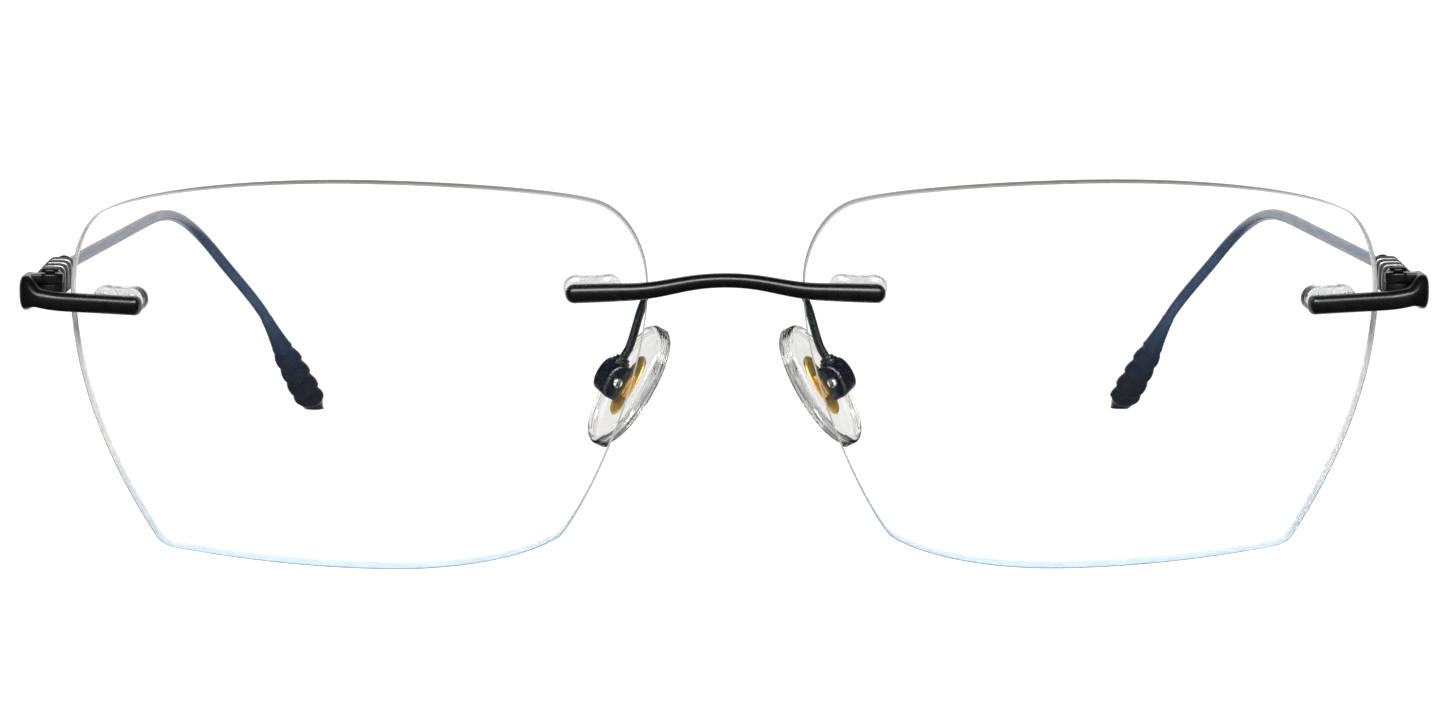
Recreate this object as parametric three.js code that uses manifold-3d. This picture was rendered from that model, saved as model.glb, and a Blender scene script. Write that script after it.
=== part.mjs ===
// Rimless eyeglasses: two drilled lenses joined by a bridge bar, endpieces held by pins and sleeves,
// nose pads on wire arms, and two wire temples that fold on vertical hinges.
// Millimetres, +Z up. The lenses face -Y, the temples run to +Y, the wearer's left side is +X.
// Every sided piece is drawn on the +X side and reflected for the other side.

import * as THREE from 'three';
import { mergeVertices } from 'three/addons/utils/BufferGeometryUtils.js';
import Module from 'manifold-3d';

const wasm = await Module();
wasm.setup();

// ---------------------------------------------------------------- driving dimensions

const lensGap = 15.4;
const lensThickness = 2.5;
const lensRadius = 130;
const lensTilt = THREE.MathUtils.degToRad(7);
const faceWrap = THREE.MathUtils.degToRad(5);

const pinRadius = 0.45;
const plugRadius = 0.72;
const lensHoleRadius = 0.77;
const barrelRadius = 1.3;
const barrelLength = 1.6;
const sleeveGap = 0.1;
const webHalfHeight = 0.75;
const bridgePinSpacing = 3.2;
const endpiecePinSpacing = 2.9;
const bridgeSeat = { across: -23.6, up: 8.8 };
const endpieceSeat = { across: 25.1, up: 7.2 };

const barDepth = 1.8;
const barEndRounding = 0.9;
const bridgeEndHeight = 1.92;
const bridgeMiddleHeight = 1.45;
const bridgeArchRise = 1.1;
const bridgeEndReach = 3;
const bridgeShoulderReach = 3.2;
const bridgeShoulderEase = 4;
const bridgeCrownEase = 4.2;
const bridgeCrownSetback = 0.5;

const endpieceReach = 3.6;
const endpieceElbow = 4.5;
const endpieceElbowEase = 2.8;
const endpieceRounding = 0.7;

const hingeX = 68.15;
const hingeY = 8.9;
const hingeRise = 0.8;
const hingeHeight = 3.5;
const knuckleRadius = 1.35;
const middleKnuckleHeight = 1.3;
const hingeShankRadius = 0.5;
const hingeHeadRadius = 0.9;
const hingeHeadHeight = 0.5;
const knuckleInset = 0.06;
const cheekThickness = 1.45;
const cheekLength = 2;
const cheekEase = 1.9;

const ribCount = 5;
const ribPitch = 1.7;
const ribWidth = 2.7;
const ribHeight = 3.1;
const ribLift = 0.2;
const ribGrooveDepth = 0.38;
const ribSlope = 0.075;
const ribGrowth = 0.06;
const wireAboveRibs = 0.55;
const wireGrip = 3;

const wireRadius = 0.62;
const wireEndRadius = 0.66;
const bendStart = new THREE.Vector3(65.3, 72, 29);
const bendEnd = new THREE.Vector3(60.4, 109.5, 21.3);
const tipStart = new THREE.Vector3(55.6, 119.4, 12.8);
const tipEnd = new THREE.Vector3(50.7, 132.2, 0);
const tipLobes = 4;
const tipLobePitch = 2.8;
const tipAfterLobes = 4.6;
const tipUnderground = 3;
const tipGrip = 6;

const padCentre = new THREE.Vector3(9.65, 10, 17.9);
const padLength = 13.4;
const padWidth = 7.5;
const padThickness = 2.2;
const padLean = THREE.MathUtils.degToRad(31);
const padSplay = new THREE.Vector3(-1, 0.47, 0);
const padPivotDepth = 2.55;
const padArmRadius = 0.43;

const slack = 0.05;
const mergeDistance = 1e-5;
const upward = new THREE.Vector3(0, 0, 1);

// ---------------------------------------------------------------- materials

function paint(color, roughness, metalness, opacity = 1) {
  return new THREE.MeshStandardMaterial({ color, roughness, metalness, opacity, transparent: opacity < 1 });
}

const blackMetal = () => paint(0x17181a, 0.38, 0.7);
const darkMetal = () => paint(0x3a3d44, 0.3, 0.9);
const tipResin = () => paint(0x2c2c2d, 0.6, 0.1);
const clearLens = () => paint(0xf4f8fa, 0.03, 0, 0.2);
const clearResin = () => paint(0xe6eaec, 0.15, 0, 0.5);
const silicone = () => paint(0xeceae4, 0.25, 0, 0.6);
const goldMetal = () => paint(0xc9a04e, 0.3, 0.9);
const silverMetal = () => paint(0xc4c6c8, 0.25, 0.9);

// ---------------------------------------------------------------- solids

// Built-in shapes carry normals and split their corners; swept and cut ones are already joined.
function bareCopy(geometry) {
  const copy = geometry.clone();
  if (!copy.hasAttribute('normal')) {
    return copy;
  }
  copy.deleteAttribute('normal');
  copy.deleteAttribute('uv');
  return mergeVertices(copy, mergeDistance);
}

function signedVolume(positions, triangles) {
  let sum = 0;
  const a = new THREE.Vector3();
  const b = new THREE.Vector3();
  const c = new THREE.Vector3();
  for (let i = 0; i < triangles.length; i += 3) {
    a.fromArray(positions, 3 * triangles[i]);
    b.fromArray(positions, 3 * triangles[i + 1]);
    c.fromArray(positions, 3 * triangles[i + 2]);
    sum += a.dot(b.cross(c));
  }
  return sum / 6;
}

// One closed geometry with shared corners, no collapsed triangles and its faces pointing out.
function closedGeometry(geometry) {
  const bare = bareCopy(geometry);
  const positions = bare.getAttribute('position').array;
  const corners = bare.index.array;
  const triangles = [];
  for (let i = 0; i < corners.length; i += 3) {
    const [a, b, c] = [corners[i], corners[i + 1], corners[i + 2]];
    if (a !== b && b !== c && c !== a) {
      triangles.push(a, b, c);
    }
  }
  if (signedVolume(positions, triangles) < 0) {
    triangles.reverse();
  }
  const result = new THREE.BufferGeometry();
  result.setAttribute('position', new THREE.BufferAttribute(new Float32Array(positions), 3));
  result.setIndex(triangles);
  return result;
}

function toManifold(geometry) {
  const closed = closedGeometry(geometry);
  const vertProperties = closed.getAttribute('position').array;
  const triVerts = new Uint32Array(closed.index.array);
  return new wasm.Manifold(new wasm.Mesh({ numProp: 3, vertProperties, triVerts }));
}

function fromManifold(manifold) {
  const mesh = manifold.getMesh();
  const geometry = new THREE.BufferGeometry();
  geometry.setAttribute('position', new THREE.BufferAttribute(new Float32Array(mesh.vertProperties), 3));
  geometry.setIndex(Array.from(mesh.triVerts));
  return geometry;
}

function join(first, ...others) {
  let result = toManifold(first);
  for (const other of others) {
    result = result.add(toManifold(other));
  }
  return fromManifold(result);
}

function cut(first, ...others) {
  let result = toManifold(first);
  for (const other of others) {
    result = result.subtract(toManifold(other));
  }
  return fromManifold(result);
}

function common(first, second) {
  return fromManifold(toManifold(first).intersect(toManifold(second)));
}

function reflected(geometry) {
  return closedGeometry(geometry.clone().applyMatrix4(new THREE.Matrix4().makeScale(-1, 1, 1)));
}

// A round rod along local Y, from one depth to another.
function rod(radius, fromY, toY, x = 0, z = 0, sides = 12) {
  const length = toY - fromY;
  return new THREE.CylinderGeometry(radius, radius, length, sides).translate(x, fromY + length / 2, z);
}

// A round rod along Z, from one height to another.
function post(radius, fromZ, toZ, x = 0, y = 0, sides = 16) {
  const length = toZ - fromZ;
  const geometry = new THREE.CylinderGeometry(radius, radius, length, sides);
  return geometry.rotateX(Math.PI / 2).translate(x, y, fromZ + length / 2);
}

function block(low, high) {
  const size = [high[0] - low[0], high[1] - low[1], high[2] - low[2]];
  const geometry = new THREE.BoxGeometry(...size);
  return geometry.translate(low[0] + size[0] / 2, low[1] + size[1] / 2, low[2] + size[2] / 2);
}

// A closed body through rings. Each ring has a centre, a direction along the body, its half
// sizes across and upright, and one power: 2 is an ellipse, more is squarer.
function sweep(rings, sides = 16) {
  const positions = [];
  const triangles = [];
  for (const ring of rings) {
    const across = new THREE.Vector3().crossVectors(ring.along, upward).normalize();
    const upright = new THREE.Vector3().crossVectors(across, ring.along).normalize();
    for (let i = 0; i < sides; i += 1) {
      const angle = (2 * Math.PI * i) / sides;
      const c = Math.sign(Math.cos(angle)) * Math.abs(Math.cos(angle)) ** (2 / ring.power);
      const s = Math.sign(Math.sin(angle)) * Math.abs(Math.sin(angle)) ** (2 / ring.power);
      const point = ring.centre.clone();
      point.addScaledVector(across, ring.half[0] * c).addScaledVector(upright, ring.half[1] * s);
      positions.push(...point.toArray());
    }
  }
  for (let k = 0; k + 1 < rings.length; k += 1) {
    for (let i = 0; i < sides; i += 1) {
      const a = k * sides + i;
      const b = k * sides + ((i + 1) % sides);
      triangles.push(a, b, a + sides, b, b + sides, a + sides);
    }
  }
  const lastRing = (rings.length - 1) * sides;
  for (let i = 1; i + 1 < sides; i += 1) {
    triangles.push(0, i + 1, i, lastRing, lastRing + i, lastRing + i + 1);
  }
  const geometry = new THREE.BufferGeometry();
  geometry.setAttribute('position', new THREE.BufferAttribute(new Float32Array(positions), 3));
  geometry.setIndex(triangles);
  return closedGeometry(geometry);
}

// Rings along a curve, with both ends rounded over endRadius. halfAt gives the half sizes at 0 to 1.
function ringsAlong(curve, steps, halfAt, endRadius, power) {
  const length = curve.getLength();
  const stations = [];
  for (const degrees of [25, 50, 75]) {
    const angle = THREE.MathUtils.degToRad(degrees);
    stations.push({ distance: endRadius * (1 - Math.cos(angle)), scale: Math.sin(angle) });
  }
  const rounding = endRadius > 0 ? stations : [];
  const middle = [];
  for (let i = 0; i <= steps; i += 1) {
    middle.push({ distance: endRadius + ((length - 2 * endRadius) * i) / steps, scale: 1 });
  }
  const closing = rounding.map(({ distance, scale }) => ({ distance: length - distance, scale }));
  return [...rounding, ...middle, ...closing.reverse()].map(({ distance, scale }) => {
    const part = distance / length;
    const half = halfAt(part).map((size) => size * scale);
    return { centre: curve.getPointAt(part), along: curve.getTangentAt(part), half, power };
  });
}

function pathOf(...curves) {
  const path = new THREE.CurvePath();
  curves.forEach((curve) => path.add(curve));
  return path;
}

const lineTo = (from, to) => new THREE.LineCurve3(from, to);
const bendTo = (from, a, b, to) => new THREE.CubicBezierCurve3(from, a, b, to);

// ---------------------------------------------------------------- lens

// The outline in the lens plane, with x away from the nose and the box centre at 0, 0.
function lensOutline() {
  const shape = new THREE.Shape();
  shape.moveTo(-28.8, 9.2);
  shape.bezierCurveTo(-28.8, 12.6, -27, 16.2, -24.3, 17.4);
  shape.bezierCurveTo(-21.5, 18.6, -10, 19.9, 1, 19.9);
  shape.bezierCurveTo(11.5, 19.9, 22, 18.4, 25.9, 16.4);
  shape.bezierCurveTo(28.2, 15.1, 29.4, 11.6, 29.4, 7.5);
  shape.bezierCurveTo(29.4, -1, 25.9, -9.8, 21.6, -17);
  shape.quadraticCurveTo(21, -18.05, 19.6, -18.25);
  shape.bezierCurveTo(12, -19.3, 4, -19.9, -3, -19.9);
  shape.bezierCurveTo(-9, -19.9, -16, -18.9, -19.6, -16.6);
  shape.bezierCurveTo(-22, -14.2, -28.8, -0.6, -28.8, 9.2);
  return shape;
}

// A dome around local Y, wider than the outline: its front has radius lensRadius and touches y = 0.
function lensDome() {
  const rim = 40;
  const steps = 6;
  const profile = [];
  for (let i = 0; i <= steps; i += 1) {
    const reach = (rim * i) / steps;
    profile.push(new THREE.Vector2(reach, lensRadius - Math.sqrt(lensRadius ** 2 - reach ** 2)));
  }
  const backRadius = lensRadius - lensThickness;
  for (let i = steps; i >= 0; i -= 1) {
    const reach = (rim * i) / steps;
    profile.push(new THREE.Vector2(reach, lensRadius - Math.sqrt(backRadius ** 2 - reach ** 2)));
  }
  return new THREE.LatheGeometry(profile, 28);
}

function seatInLens({ across, up }) {
  const depth = lensRadius - Math.sqrt(lensRadius ** 2 - across ** 2 - up ** 2);
  const turn = new THREE.Matrix4().makeRotationZ(Math.asin(across / lensRadius));
  turn.multiply(new THREE.Matrix4().makeRotationX(-Math.asin(up / lensRadius)));
  return new THREE.Matrix4().makeTranslation(across, depth, up).multiply(turn);
}

// The dome inside the outline, with a hole for each pin.
function drilledLens() {
  const inFront = 6;
  const behind = 18;
  const settings = { depth: inFront + behind, bevelEnabled: false, curveSegments: 6 };
  const curtain = new THREE.ExtrudeGeometry(lensOutline(), settings);
  curtain.rotateX(Math.PI / 2).translate(0, behind, 0);
  const holes = [];
  const seats = [[bridgeSeat, bridgePinSpacing], [endpieceSeat, endpiecePinSpacing]];
  for (const [seat, spacing] of seats) {
    for (const side of [-1, 1]) {
      const hole = rod(lensHoleRadius, -lensThickness, 2 * lensThickness, (side * spacing) / 2);
      holes.push(hole.applyMatrix4(seatInLens(seat)));
    }
  }
  return cut(common(lensDome(), curtain), ...holes);
}

const lensLocal = drilledLens();

// The lens leans and wraps, and its lower edge touches z = 0.
function lensTurn() {
  const wrap = new THREE.Matrix4().makeRotationZ(faceWrap);
  return wrap.multiply(new THREE.Matrix4().makeRotationX(lensTilt));
}

const turnedLens = lensLocal.clone().applyMatrix4(lensTurn());
turnedLens.computeBoundingBox();
const lensLift = -turnedLens.boundingBox.min.z;
const lensSide = lensGap / 2 - turnedLens.boundingBox.min.x;
const lensPlace = new THREE.Matrix4().makeTranslation(lensSide, 0, lensLift).multiply(lensTurn());
const bridgePlace = lensPlace.clone().multiply(seatInLens(bridgeSeat));
const endpiecePlace = lensPlace.clone().multiply(seatInLens(endpieceSeat));

const placed = (matrix, x, y, z) => new THREE.Vector3(x, y, z).applyMatrix4(matrix);
const seatDirection = (matrix) => new THREE.Vector3().setFromMatrixColumn(matrix, 0);

// ---------------------------------------------------------------- pins and sleeves

// A pin runs from its socket in the bar, through the lens, almost to the end of its barrel.
const sleeveFront = lensThickness + sleeveGap;
const socketDepth = 0.65;
const barrelFloor = 0.35;
const pinStop = sleeveFront + barrelLength - barrelFloor;

function pin(place, x) {
  return rod(pinRadius, -socketDepth, pinStop, x).applyMatrix4(place);
}

function pinSocket(place, x) {
  return rod(pinRadius + slack, -socketDepth - slack, 1, x).applyMatrix4(place);
}

// Two barrels behind the lens, joined by a web, with plugs that fill the lens holes around the pins.
function sleeve(place, spacing) {
  const webBack = sleeveFront + barrelLength * 0.8;
  const webLow = [-spacing / 2, sleeveFront, -webHalfHeight];
  const webHigh = [spacing / 2, webBack, webHalfHeight];
  const pieces = [block(webLow, webHigh)];
  const bores = [];
  for (const side of [-1, 1]) {
    const x = (side * spacing) / 2;
    pieces.push(rod(barrelRadius, sleeveFront, sleeveFront + barrelLength, x, 0, 14));
    pieces.push(rod(plugRadius, sleeveGap, sleeveFront + sleeveGap, x));
    bores.push(rod(pinRadius + slack, -1, pinStop + slack, x));
  }
  return cut(join(...pieces), ...bores).applyMatrix4(place);
}

// ---------------------------------------------------------------- bridge

const barCentreDepth = -(barDepth / 2 + slack);

// Straight over each lens, with a low arch between them.
function bridgeBar() {
  const end = placed(bridgePlace, bridgeEndReach, barCentreDepth, 0);
  const shoulder = placed(bridgePlace, -bridgeShoulderReach, barCentreDepth, 0);
  const leave = shoulder.clone().addScaledVector(seatDirection(bridgePlace), -bridgeShoulderEase);
  const crown = new THREE.Vector3(0, shoulder.y + bridgeCrownSetback, shoulder.z + bridgeArchRise);
  const beforeCrown = crown.clone().add(new THREE.Vector3(bridgeCrownEase, 0, 0));
  const other = (point) => new THREE.Vector3(-point.x, point.y, point.z);
  const path = pathOf(
    lineTo(end, shoulder),
    bendTo(shoulder, leave, beforeCrown, crown),
    bendTo(crown, other(beforeCrown), other(leave), other(shoulder)),
    lineTo(other(shoulder), other(end)),
  );
  const halfAt = (part) => {
    const middle = Math.sin(Math.PI * part) ** 2;
    return [barDepth / 2, THREE.MathUtils.lerp(bridgeEndHeight, bridgeMiddleHeight, middle) / 2];
  };
  const bar = sweep(ringsAlong(path, 18, halfAt, barEndRounding, 2.8), 12);
  const sockets = [-1, 1].map((side) => pinSocket(bridgePlace, (side * bridgePinSpacing) / 2));
  return cut(bar, ...sockets, ...sockets.map(reflected));
}

// ---------------------------------------------------------------- endpiece and hinge

const hingeZ = placed(endpiecePlace, 0, 0, 0).z + hingeRise;
const hingeTop = hingeZ + hingeHeight / 2;
const hingeBottom = hingeZ - hingeHeight / 2;
const cheekX = hingeX + knuckleRadius + slack + cheekThickness / 2;
const cheekEndY = hingeY + knuckleRadius;
const knuckleTop = hingeTop - knuckleInset;
const knuckleBottom = hingeBottom + knuckleInset;

// An arm over the lens that turns back into a tall cheek, with two knuckles on the cheek's inside.
function endpiece() {
  const inner = placed(endpiecePlace, -endpieceReach, barCentreDepth, 0);
  const elbow = placed(endpiecePlace, endpieceElbow, barCentreDepth, 0);
  const elbowLeave = elbow.clone().addScaledVector(seatDirection(endpiecePlace), endpieceElbowEase);
  const cheekStart = new THREE.Vector3(cheekX, hingeY - cheekLength, hingeZ);
  const cheekEnter = new THREE.Vector3(cheekX, cheekStart.y - cheekEase, hingeZ);
  const cheekEnd = new THREE.Vector3(cheekX, cheekEndY, hingeZ);
  const path = pathOf(
    lineTo(inner, elbow),
    bendTo(elbow, elbowLeave, cheekEnter, cheekStart),
    lineTo(cheekStart, cheekEnd),
  );
  const halfAt = (part) => {
    const grow = THREE.MathUtils.smoothstep(part, 0.5, 0.82);
    const depth = THREE.MathUtils.lerp(barDepth, cheekThickness, grow);
    return [depth / 2, THREE.MathUtils.lerp(bridgeEndHeight, hingeHeight, grow) / 2];
  };
  const arm = sweep(ringsAlong(path, 14, halfAt, endpieceRounding, 3), 12);
  const gap = middleKnuckleHeight / 2 + slack;
  const webX = cheekX - 0.27;
  const webFront = hingeY - 1.13;
  const webBack = hingeY + 1.07;
  const pieces = [];
  for (const [low, high] of [[knuckleBottom, hingeZ - gap], [hingeZ + gap, knuckleTop]]) {
    pieces.push(post(knuckleRadius, low, high, hingeX, hingeY));
    pieces.push(block([hingeX, webFront, low], [webX, webBack, high]));
  }
  const bore = post(hingeShankRadius + 0.03, hingeBottom - 1, hingeTop + 1, hingeX, hingeY);
  const sockets = [-1, 1].map((side) => pinSocket(endpiecePlace, (side * endpiecePinSpacing) / 2));
  return cut(join(arm, ...pieces), bore, ...sockets);
}

function hingeScrew() {
  const headBottom = hingeTop + slack;
  const headTop = headBottom + hingeHeadHeight;
  const shank = post(hingeShankRadius, hingeBottom + 2 * slack, headBottom + slack, hingeX, hingeY);
  const head = post(hingeHeadRadius, headBottom, headTop, hingeX, hingeY);
  const slotHalf = 0.14;
  const slotFloor = headTop - 0.2;
  const slotLow = [hingeX - 1, hingeY - slotHalf, slotFloor];
  const slotHigh = [hingeX + 1, hingeY + slotHalf, headTop + 1];
  return cut(join(shank, head), block(slotLow, slotHigh));
}

// ---------------------------------------------------------------- temple

const ribStart = new THREE.Vector3(hingeX + 0.45, hingeY + knuckleRadius + 0.1, hingeZ + ribLift);
const ribLine = new THREE.Vector3(bendStart.x - ribStart.x, bendStart.y - ribStart.y, 0).normalize();
ribLine.setZ(ribSlope).normalize();
const ribbedLength = ribCount * ribPitch + 1.2;
const wireStart = ribStart.clone().addScaledVector(ribLine, ribbedLength - wireGrip);
wireStart.z += wireAboveRibs;
const templeLine = new THREE.Vector3().subVectors(bendStart, wireStart).normalize();

// A square knuckle carrier with raised ribs, ending in the collar that grips the wire.
function templeFront() {
  const rings = [];
  const addRing = (distance, width, height, power, lift = 0) => {
    const centre = ribStart.clone().addScaledVector(ribLine, distance);
    centre.z += lift;
    rings.push({ centre, along: ribLine, half: [width / 2, height / 2], power });
  };
  const ribLength = 1.2;
  const grooveWall = 0.12;
  for (let i = 0; i < ribCount; i += 1) {
    const from = i * ribPitch;
    const height = ribHeight + ribGrowth * i;
    const grooveWidth = ribWidth - 2 * ribGrooveDepth;
    const grooveHeight = height - 2 * ribGrooveDepth;
    addRing(from + (i === 0 ? 0 : grooveWall), ribWidth, height, 5);
    addRing(from + ribLength, ribWidth, height, 5);
    addRing(from + ribLength + grooveWall, grooveWidth, grooveHeight, 4);
    addRing(from + ribPitch, grooveWidth, grooveHeight, 4);
  }
  addRing(ribbedLength - 1, 2.2, 2.5, 2.6, wireAboveRibs * 0.6);
  addRing(ribbedLength, 1.9, 1.9, 2, wireAboveRibs + 0.02);
  const top = hingeZ + middleKnuckleHeight / 2;
  const bottom = hingeZ - middleKnuckleHeight / 2;
  const knuckle = post(knuckleRadius - slack, bottom, top, hingeX, hingeY);
  const neck = block([hingeX - 0.7, hingeY + 0.2, bottom], [hingeX + 1.1, ribStart.y + 0.6, top]);
  const bore = post(hingeShankRadius + 0.05, hingeZ - 3, hingeZ + 3, hingeX, hingeY);
  const wireHole = lineTo(
    wireStart.clone().addScaledVector(templeLine, -slack),
    wireStart.clone().addScaledVector(templeLine, 6),
  );
  const boreRadius = wireRadius + slack;
  const wireBore = sweep(ringsAlong(wireHole, 1, () => [boreRadius, boreRadius], 0, 2), 10);
  return cut(join(sweep(rings, 16), knuckle, neck), bore, wireBore);
}

const tipLine = new THREE.Vector3().subVectors(tipEnd, tipStart).normalize();

// Straight to the ear, over the ear bend and down into the tip.
function templeWire() {
  const wireEnd = tipStart.clone().addScaledVector(tipLine, tipGrip);
  const bendLeave = bendStart.clone().addScaledVector(templeLine, 16);
  const drop = new THREE.Vector3().subVectors(tipStart, bendEnd).normalize();
  const path = pathOf(
    lineTo(wireStart, bendStart),
    bendTo(bendStart, bendLeave, bendEnd.clone().addScaledVector(drop, -11), bendEnd),
    bendTo(
      bendEnd,
      bendEnd.clone().addScaledVector(drop, 3.5),
      tipStart.clone().addScaledVector(tipLine, -3.5),
      tipStart,
    ),
    lineTo(tipStart, wireEnd),
  );
  const halfAt = (part) => {
    const taper = THREE.MathUtils.smoothstep(part, 0.6, 0.9);
    const radius = THREE.MathUtils.lerp(wireRadius, wireEndRadius, taper);
    return [radius, radius];
  };
  return sweep(ringsAlong(path, 34, halfAt, 0, 2), 8);
}

// A flaring paddle with scale-like lobes, cut flat where it stands on z = 0.
function templeTip() {
  const rings = [];
  const length = tipStart.distanceTo(tipEnd) + tipUnderground;
  const lobesFrom = length - tipAfterLobes - tipLobes * tipLobePitch;
  const addRing = (distance, width) => {
    const centre = tipStart.clone().addScaledVector(tipLine, distance);
    const thickness = THREE.MathUtils.lerp(1.9, 2.5, distance / length);
    rings.push({ centre, along: tipLine, half: [width / 2, thickness / 2], power: 2.3 });
  };
  addRing(0.05, 1.75);
  addRing(0.6, 1.95);
  addRing(lobesFrom * 0.5, 2.1);
  for (let i = 0; i < tipLobes; i += 1) {
    const from = lobesFrom + i * tipLobePitch;
    const width = 2.7 + 0.25 * i;
    addRing(from, width);
    addRing(from + tipLobePitch * 0.75, width + 0.52);
    addRing(from + tipLobePitch * 0.96, width + 0.42);
  }
  addRing(length - 3.9, 2.9);
  addRing(length - 2, 2.1);
  addRing(length, 1.8);
  const hole = lineTo(
    tipStart.clone().addScaledVector(tipLine, -1),
    tipStart.clone().addScaledVector(tipLine, tipGrip + slack),
  );
  const holeRadius = wireEndRadius + slack;
  const bore = sweep(ringsAlong(hole, 1, () => [holeRadius, holeRadius], 0, 2), 10);
  const above = block([30, 90, 0], [80, 150, 40]);
  return common(cut(sweep(rings, 14), bore), above);
}

// ---------------------------------------------------------------- nose pad

// Local axes of the pad: y leaves the face towards the nose, z runs up its length.
function padPlacement() {
  const upLength = new THREE.Vector3(-Math.sin(padLean), 0, Math.cos(padLean));
  const face = padSplay.clone().addScaledVector(upLength, -padSplay.dot(upLength)).normalize();
  const width = new THREE.Vector3().crossVectors(face, upLength);
  return new THREE.Matrix4().makeBasis(width, face, upLength).setPosition(padCentre);
}

const padPlace = padPlacement();
const boxTop = 1.85;
const boxHalfWidth = 1.45;
const boxFrontDepth = -padThickness / 2 - 0.4;
const boxBackDepth = boxFrontDepth - 2.2;
const collarRadius = 0.85;
const collarHeight = 0.5;
const socketFloor = boxTop + 0.1;
const padHeadRadius = 0.6;
const padHeadHeight = 0.4;
const tongueHalf = 0.35;
const tongueHeight = 0.8;
const coreDepth = -0.25;
const coreHalf = { x: 1.6, y: 0.3, z: 3.1 };
const padShankRadius = 0.35;

// An ellipse in local X and Z, extruded along local Y from one depth to another.
function ovalPlate(halfX, halfZ, fromY, toY, bevel) {
  const outline = new THREE.Shape();
  outline.absellipse(0, 0, halfX - bevel, halfZ - bevel, 0, 2 * Math.PI);
  const settings = {
    depth: toY - fromY - 2 * bevel,
    bevelEnabled: bevel > 0,
    bevelSize: bevel,
    bevelThickness: bevel,
    bevelSegments: 3,
    curveSegments: 10,
  };
  return new THREE.ExtrudeGeometry(outline, settings).rotateX(Math.PI / 2).translate(0, toY - bevel, 0);
}

// The core's own oval, grown on every side by an allowance.
function coreOval(allowance) {
  const halfY = coreHalf.y + allowance;
  return ovalPlate(coreHalf.x + allowance, coreHalf.z + allowance, coreDepth - halfY, coreDepth + halfY, 0);
}

// A round rod along the pad's local X, on the line that the pad rocks about.
function crossRod(radius, fromX, toX, sides = 16) {
  const length = toX - fromX;
  const geometry = new THREE.CylinderGeometry(radius, radius, length, sides);
  return geometry.rotateZ(Math.PI / 2).translate(fromX + length / 2, -padPivotDepth, 0);
}

function nosePad() {
  const body = ovalPlate(padWidth / 2, padLength / 2, -padThickness / 2, padThickness / 2, 0.95);
  const slitHalf = tongueHalf + slack;
  const slitHeight = tongueHeight + slack;
  const slit = block([-slitHalf, -padPivotDepth, -slitHeight], [slitHalf, coreDepth, slitHeight]);
  return cut(body, join(coreOval(slack), slit)).applyMatrix4(padPlace);
}

// The oval insert inside the pad and the tongue that pivots on the pad screw.
function padCore() {
  const tongueLow = [-tongueHalf, -padPivotDepth, -tongueHeight];
  const tongue = block(tongueLow, [tongueHalf, coreDepth, tongueHeight]);
  const eye = crossRod(tongueHeight, -tongueHalf, tongueHalf);
  const hole = crossRod(padShankRadius + slack, -1, 1);
  return cut(join(coreOval(0), tongue, eye), hole).applyMatrix4(padPlace);
}

// The black box that the tongue sits in, domed on the side away from the pad, with a stepped collar.
function padBox() {
  const shoulder = boxBackDepth + 1.1;
  const bulge = boxBackDepth + 0.3;
  const outline = new THREE.Shape();
  outline.moveTo(-boxTop, boxFrontDepth);
  outline.lineTo(boxTop, boxFrontDepth);
  outline.lineTo(boxTop, shoulder);
  outline.bezierCurveTo(boxTop, bulge, boxTop / 2, boxBackDepth, 0, boxBackDepth);
  outline.bezierCurveTo(-boxTop / 2, boxBackDepth, -boxTop, bulge, -boxTop, shoulder);
  const settings = { depth: 2 * boxHalfWidth, bevelEnabled: false, curveSegments: 6 };
  const body = new THREE.ExtrudeGeometry(outline, settings);
  body.rotateY(-Math.PI / 2).translate(boxHalfWidth, 0, 0);
  const collar = post(collarRadius, boxTop - 0.2, boxTop + collarHeight, 0, -padPivotDepth, 20);
  const slotHalf = tongueHalf + 0.07;
  const slotHeight = 1.25;
  const slot = block([-slotHalf, boxBackDepth + 0.25, -slotHeight], [slotHalf, 1, slotHeight]);
  const bore = crossRod(padShankRadius + slack, -2 * boxHalfWidth, 2 * boxHalfWidth);
  const socket = post(padArmRadius + slack, socketFloor, boxTop + 2, 0, -padPivotDepth, 16);
  return cut(join(body, collar), slot, bore, socket).applyMatrix4(padPlace);
}

// The head is on the side that faces forwards.
function padScrew() {
  const headBack = -boxHalfWidth - slack;
  const shank = crossRod(padShankRadius, headBack - slack, boxHalfWidth - 0.15);
  const head = crossRod(padHeadRadius, headBack - padHeadHeight, headBack, 20);
  return join(shank, head).applyMatrix4(padPlace);
}

// The wire from behind the bridge bar, back between the lenses and down to the pad box.
function padArm() {
  const start = placed(bridgePlace, -6, -slack, -0.1);
  start.x = lensGap / 2 - padArmRadius - 0.35;
  start.y += padArmRadius;
  const foot = placed(padPlace, 0, -padPivotDepth, socketFloor + slack);
  const aboveBox = placed(padPlace, 0, -padPivotDepth, boxTop + 1.6);
  const behindLens = new THREE.Vector3(start.x, start.y + 3.2, start.z - 0.2);
  const path = pathOf(
    lineTo(start, behindLens),
    bendTo(
      behindLens,
      behindLens.clone().add(new THREE.Vector3(1.6, 2.8, -0.3)),
      aboveBox.clone().add(new THREE.Vector3(-1, 0, 2.5)),
      aboveBox,
    ),
    lineTo(aboveBox, foot),
  );
  return sweep(ringsAlong(path, 14, () => [padArmRadius, padArmRadius], 0, 2), 8);
}

// ---------------------------------------------------------------- assembly

const glasses = new THREE.Group();

function addMesh(name, geometry, material) {
  const mesh = new THREE.Mesh(closedGeometry(geometry), material);
  mesh.name = name;
  glasses.add(mesh);
}

// The wearer's left piece as drawn, and its reflection for the right.
function addPair(name, geometry, makeMaterial) {
  addMesh(`${name}_left`, geometry, makeMaterial());
  addMesh(`${name}_right`, reflected(geometry), makeMaterial());
}

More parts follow.
